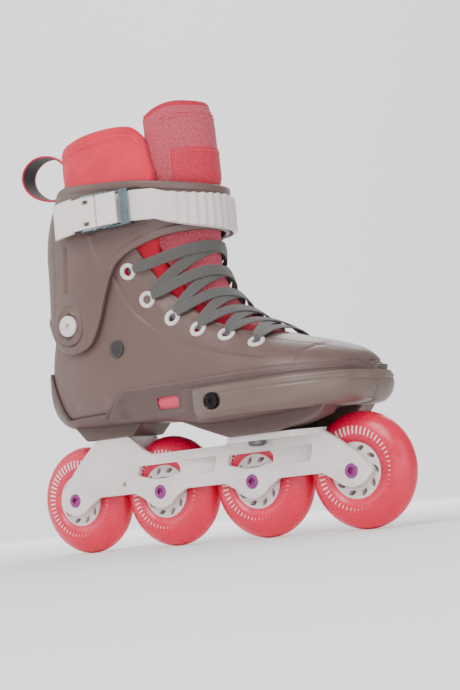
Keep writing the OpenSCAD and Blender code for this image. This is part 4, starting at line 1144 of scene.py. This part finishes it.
def build_wheels():
    a = np.radians(np.linspace(-78, 78, 45))
    tread = np.stack([24 + (WHEEL_RADIUS - 24) * np.cos(a), 12 * np.sin(a)], 1)
    profile = [[19.25, -11.0]] + tread.tolist() + [[19.25, 11.0]]
    for i, x in enumerate(AXLES, 1):
        tyre = lathe("tyre_%d_skin" % i, profile, 144)
        mesh = tyre.data
        mark_cloth(mesh, np.array([v.co[:] for v in mesh.vertices]) / MM)
        mesh.transform(Matrix.Translation((x * MM, 0, WHEEL_RADIUS * MM)))
        dress(tyre, "tyre", "wheel_%d" % i, replaces=("tyre_%d" % i,))
        hub = refined("hub_%d" % i, "hub_%d_skin" % i, 0.45, 40)
        dress(hub, "hub", "wheel_%d" % i)


# Bevel and least angle of the edges that it rounds
REFINED = {
    "frame": (0.9, 28), "strap": (0.35, 40), "strap_anchor": (0.4, 35), "buckle_base": (0.3, 35),
    "buckle_lever": (0.7, 35), "buckle_release": (0.5, 35), "side_badge": (0.25, 40),
    "pivot_bolts": (0.4, 40), "slider_screws": (0.3, 40), "shock_absorber": (0.3, 40),
    "footbed": (1.0, 40), "frame_bolts": (0.25, 40), "axles": (0.3, 40), "axle_screws": (0.3, 40),
}


def build_refined():
    bodies = frame["record"]["behaviour"]["bodies"]
    body_of = {node: body for body, nodes in bodies.items() for node in nodes}
    for node, (bevel, angle) in REFINED.items():
        dress(refined(node, node + "_fine", bevel, angle), SLOT[node], body_of[node])


def paint_cad():
    """Every CAD node that is still seen gets its slot's material."""
    for node, obj in frame["nodes"].items():
        for slot in obj.material_slots:
            slot.link = "OBJECT"
            slot.material = MATERIALS[SLOT[node]]


# ------------------------------------------------------------------ stage, lights, camera

# The camera's direction in degrees, and its place
AZIMUTH, ELEVATION, ROLL = 35.03, -5.47, -5.7
CAMERA_AT = (0.71075, -0.98325, 0.02377)


def build_stage():
    """A floor that curves up into a backdrop, square to the camera's direction."""
    floor = Finish("stage", (247, 247, 247.6), 0.8)
    floor.mottle(0.6, 0.01).grain(40, 0.0002)
    arc = [(2.4 + 1.6 * math.sin(t), 1.6 - 1.6 * math.cos(t)) for t in np.radians(np.linspace(5, 90, 24))]
    line = [(-2.2, 0.0), (2.4, 0.0)] + arc + [(4.0, 5.0)]
    turn = math.radians(AZIMUTH)
    back = np.array([-math.sin(turn), math.cos(turn)])
    side = np.array([math.cos(turn), math.sin(turn)])
    verts = [(*(back * d + side * s) / MM, z / MM) for d, z in line for s in (-5.0, 5.0)]
    backdrop = mesh_object("backdrop", verts, grid_faces(len(line), 2))
    backdrop.data.materials.append(floor.mat)


def area_light(name, place, aim_at, size, power):
    data = bpy.data.lights.new(name, "AREA")
    data.shape = "RECTANGLE"
    data.size, data.size_y = size
    data.energy = power
    obj = in_scene(name, data)
    obj.location = place
    obj.rotation_euler = (Vector(aim_at) - Vector(place)).to_track_quat("-Z", "Y").to_euler()


def build_lights():
    middle = (0, 0, 0.15)
    area_light("key", (0.2, -1.5, 1.5), middle, (1.0, 1.0), 30)
    area_light("fill", (1.7, -0.9, 0.7), middle, (1.4, 1.4), 10)
    area_light("side", (-1.5, -0.6, 0.9), middle, (1.2, 1.6), 8)
    area_light("rim", (-0.6, 1.4, 1.3), middle, (1.2, 0.8), 14)
    area_light("front", (0.75, -1.1, 0.12), middle, (1.4, 0.3), 3)
    area_light("wash", (-0.9, 0.9, 2.4), (-2.2, 3.0, 0.8), (2.5, 1.5), 90)
    world = bpy.data.worlds.new("studio")
    world.use_nodes = True
    sky = world.node_tree.nodes["Background"]
    sky.inputs["Color"].default_value = (1, 0.995, 0.99, 1)
    sky.inputs["Strength"].default_value = 0.6
    bpy.context.scene.world = world


def build_camera():
    azimuth, elevation, roll = (math.radians(v) for v in (AZIMUTH, ELEVATION, ROLL))
    back = Vector((math.sin(azimuth) * math.cos(elevation),
                   -math.cos(azimuth) * math.cos(elevation), math.sin(elevation)))
    level = Vector((math.cos(azimuth), math.sin(azimuth), 0))
    over = back.cross(level)
    right = math.cos(roll) * level + math.sin(roll) * over
    up = -math.sin(roll) * level + math.cos(roll) * over
    data = bpy.data.cameras.new("camera")
    data.lens = 88.08
    data.sensor_width = 36
    data.clip_start = 0.05
    cam = in_scene("camera", data)
    cam.matrix_world = Matrix.Translation(CAMERA_AT) @ Matrix((right, up, back)).transposed().to_4x4()
    bpy.context.scene.camera = cam


build_camera()
build_stage()
build_lights()
paint_cad()
build_shell()
build_chassis()
build_sliders()
build_cuff()
build_liner()
build_tongue()
build_tongue_patch()
build_lace()
build_eyelets()
build_loop()
build_wheels()
build_refined()
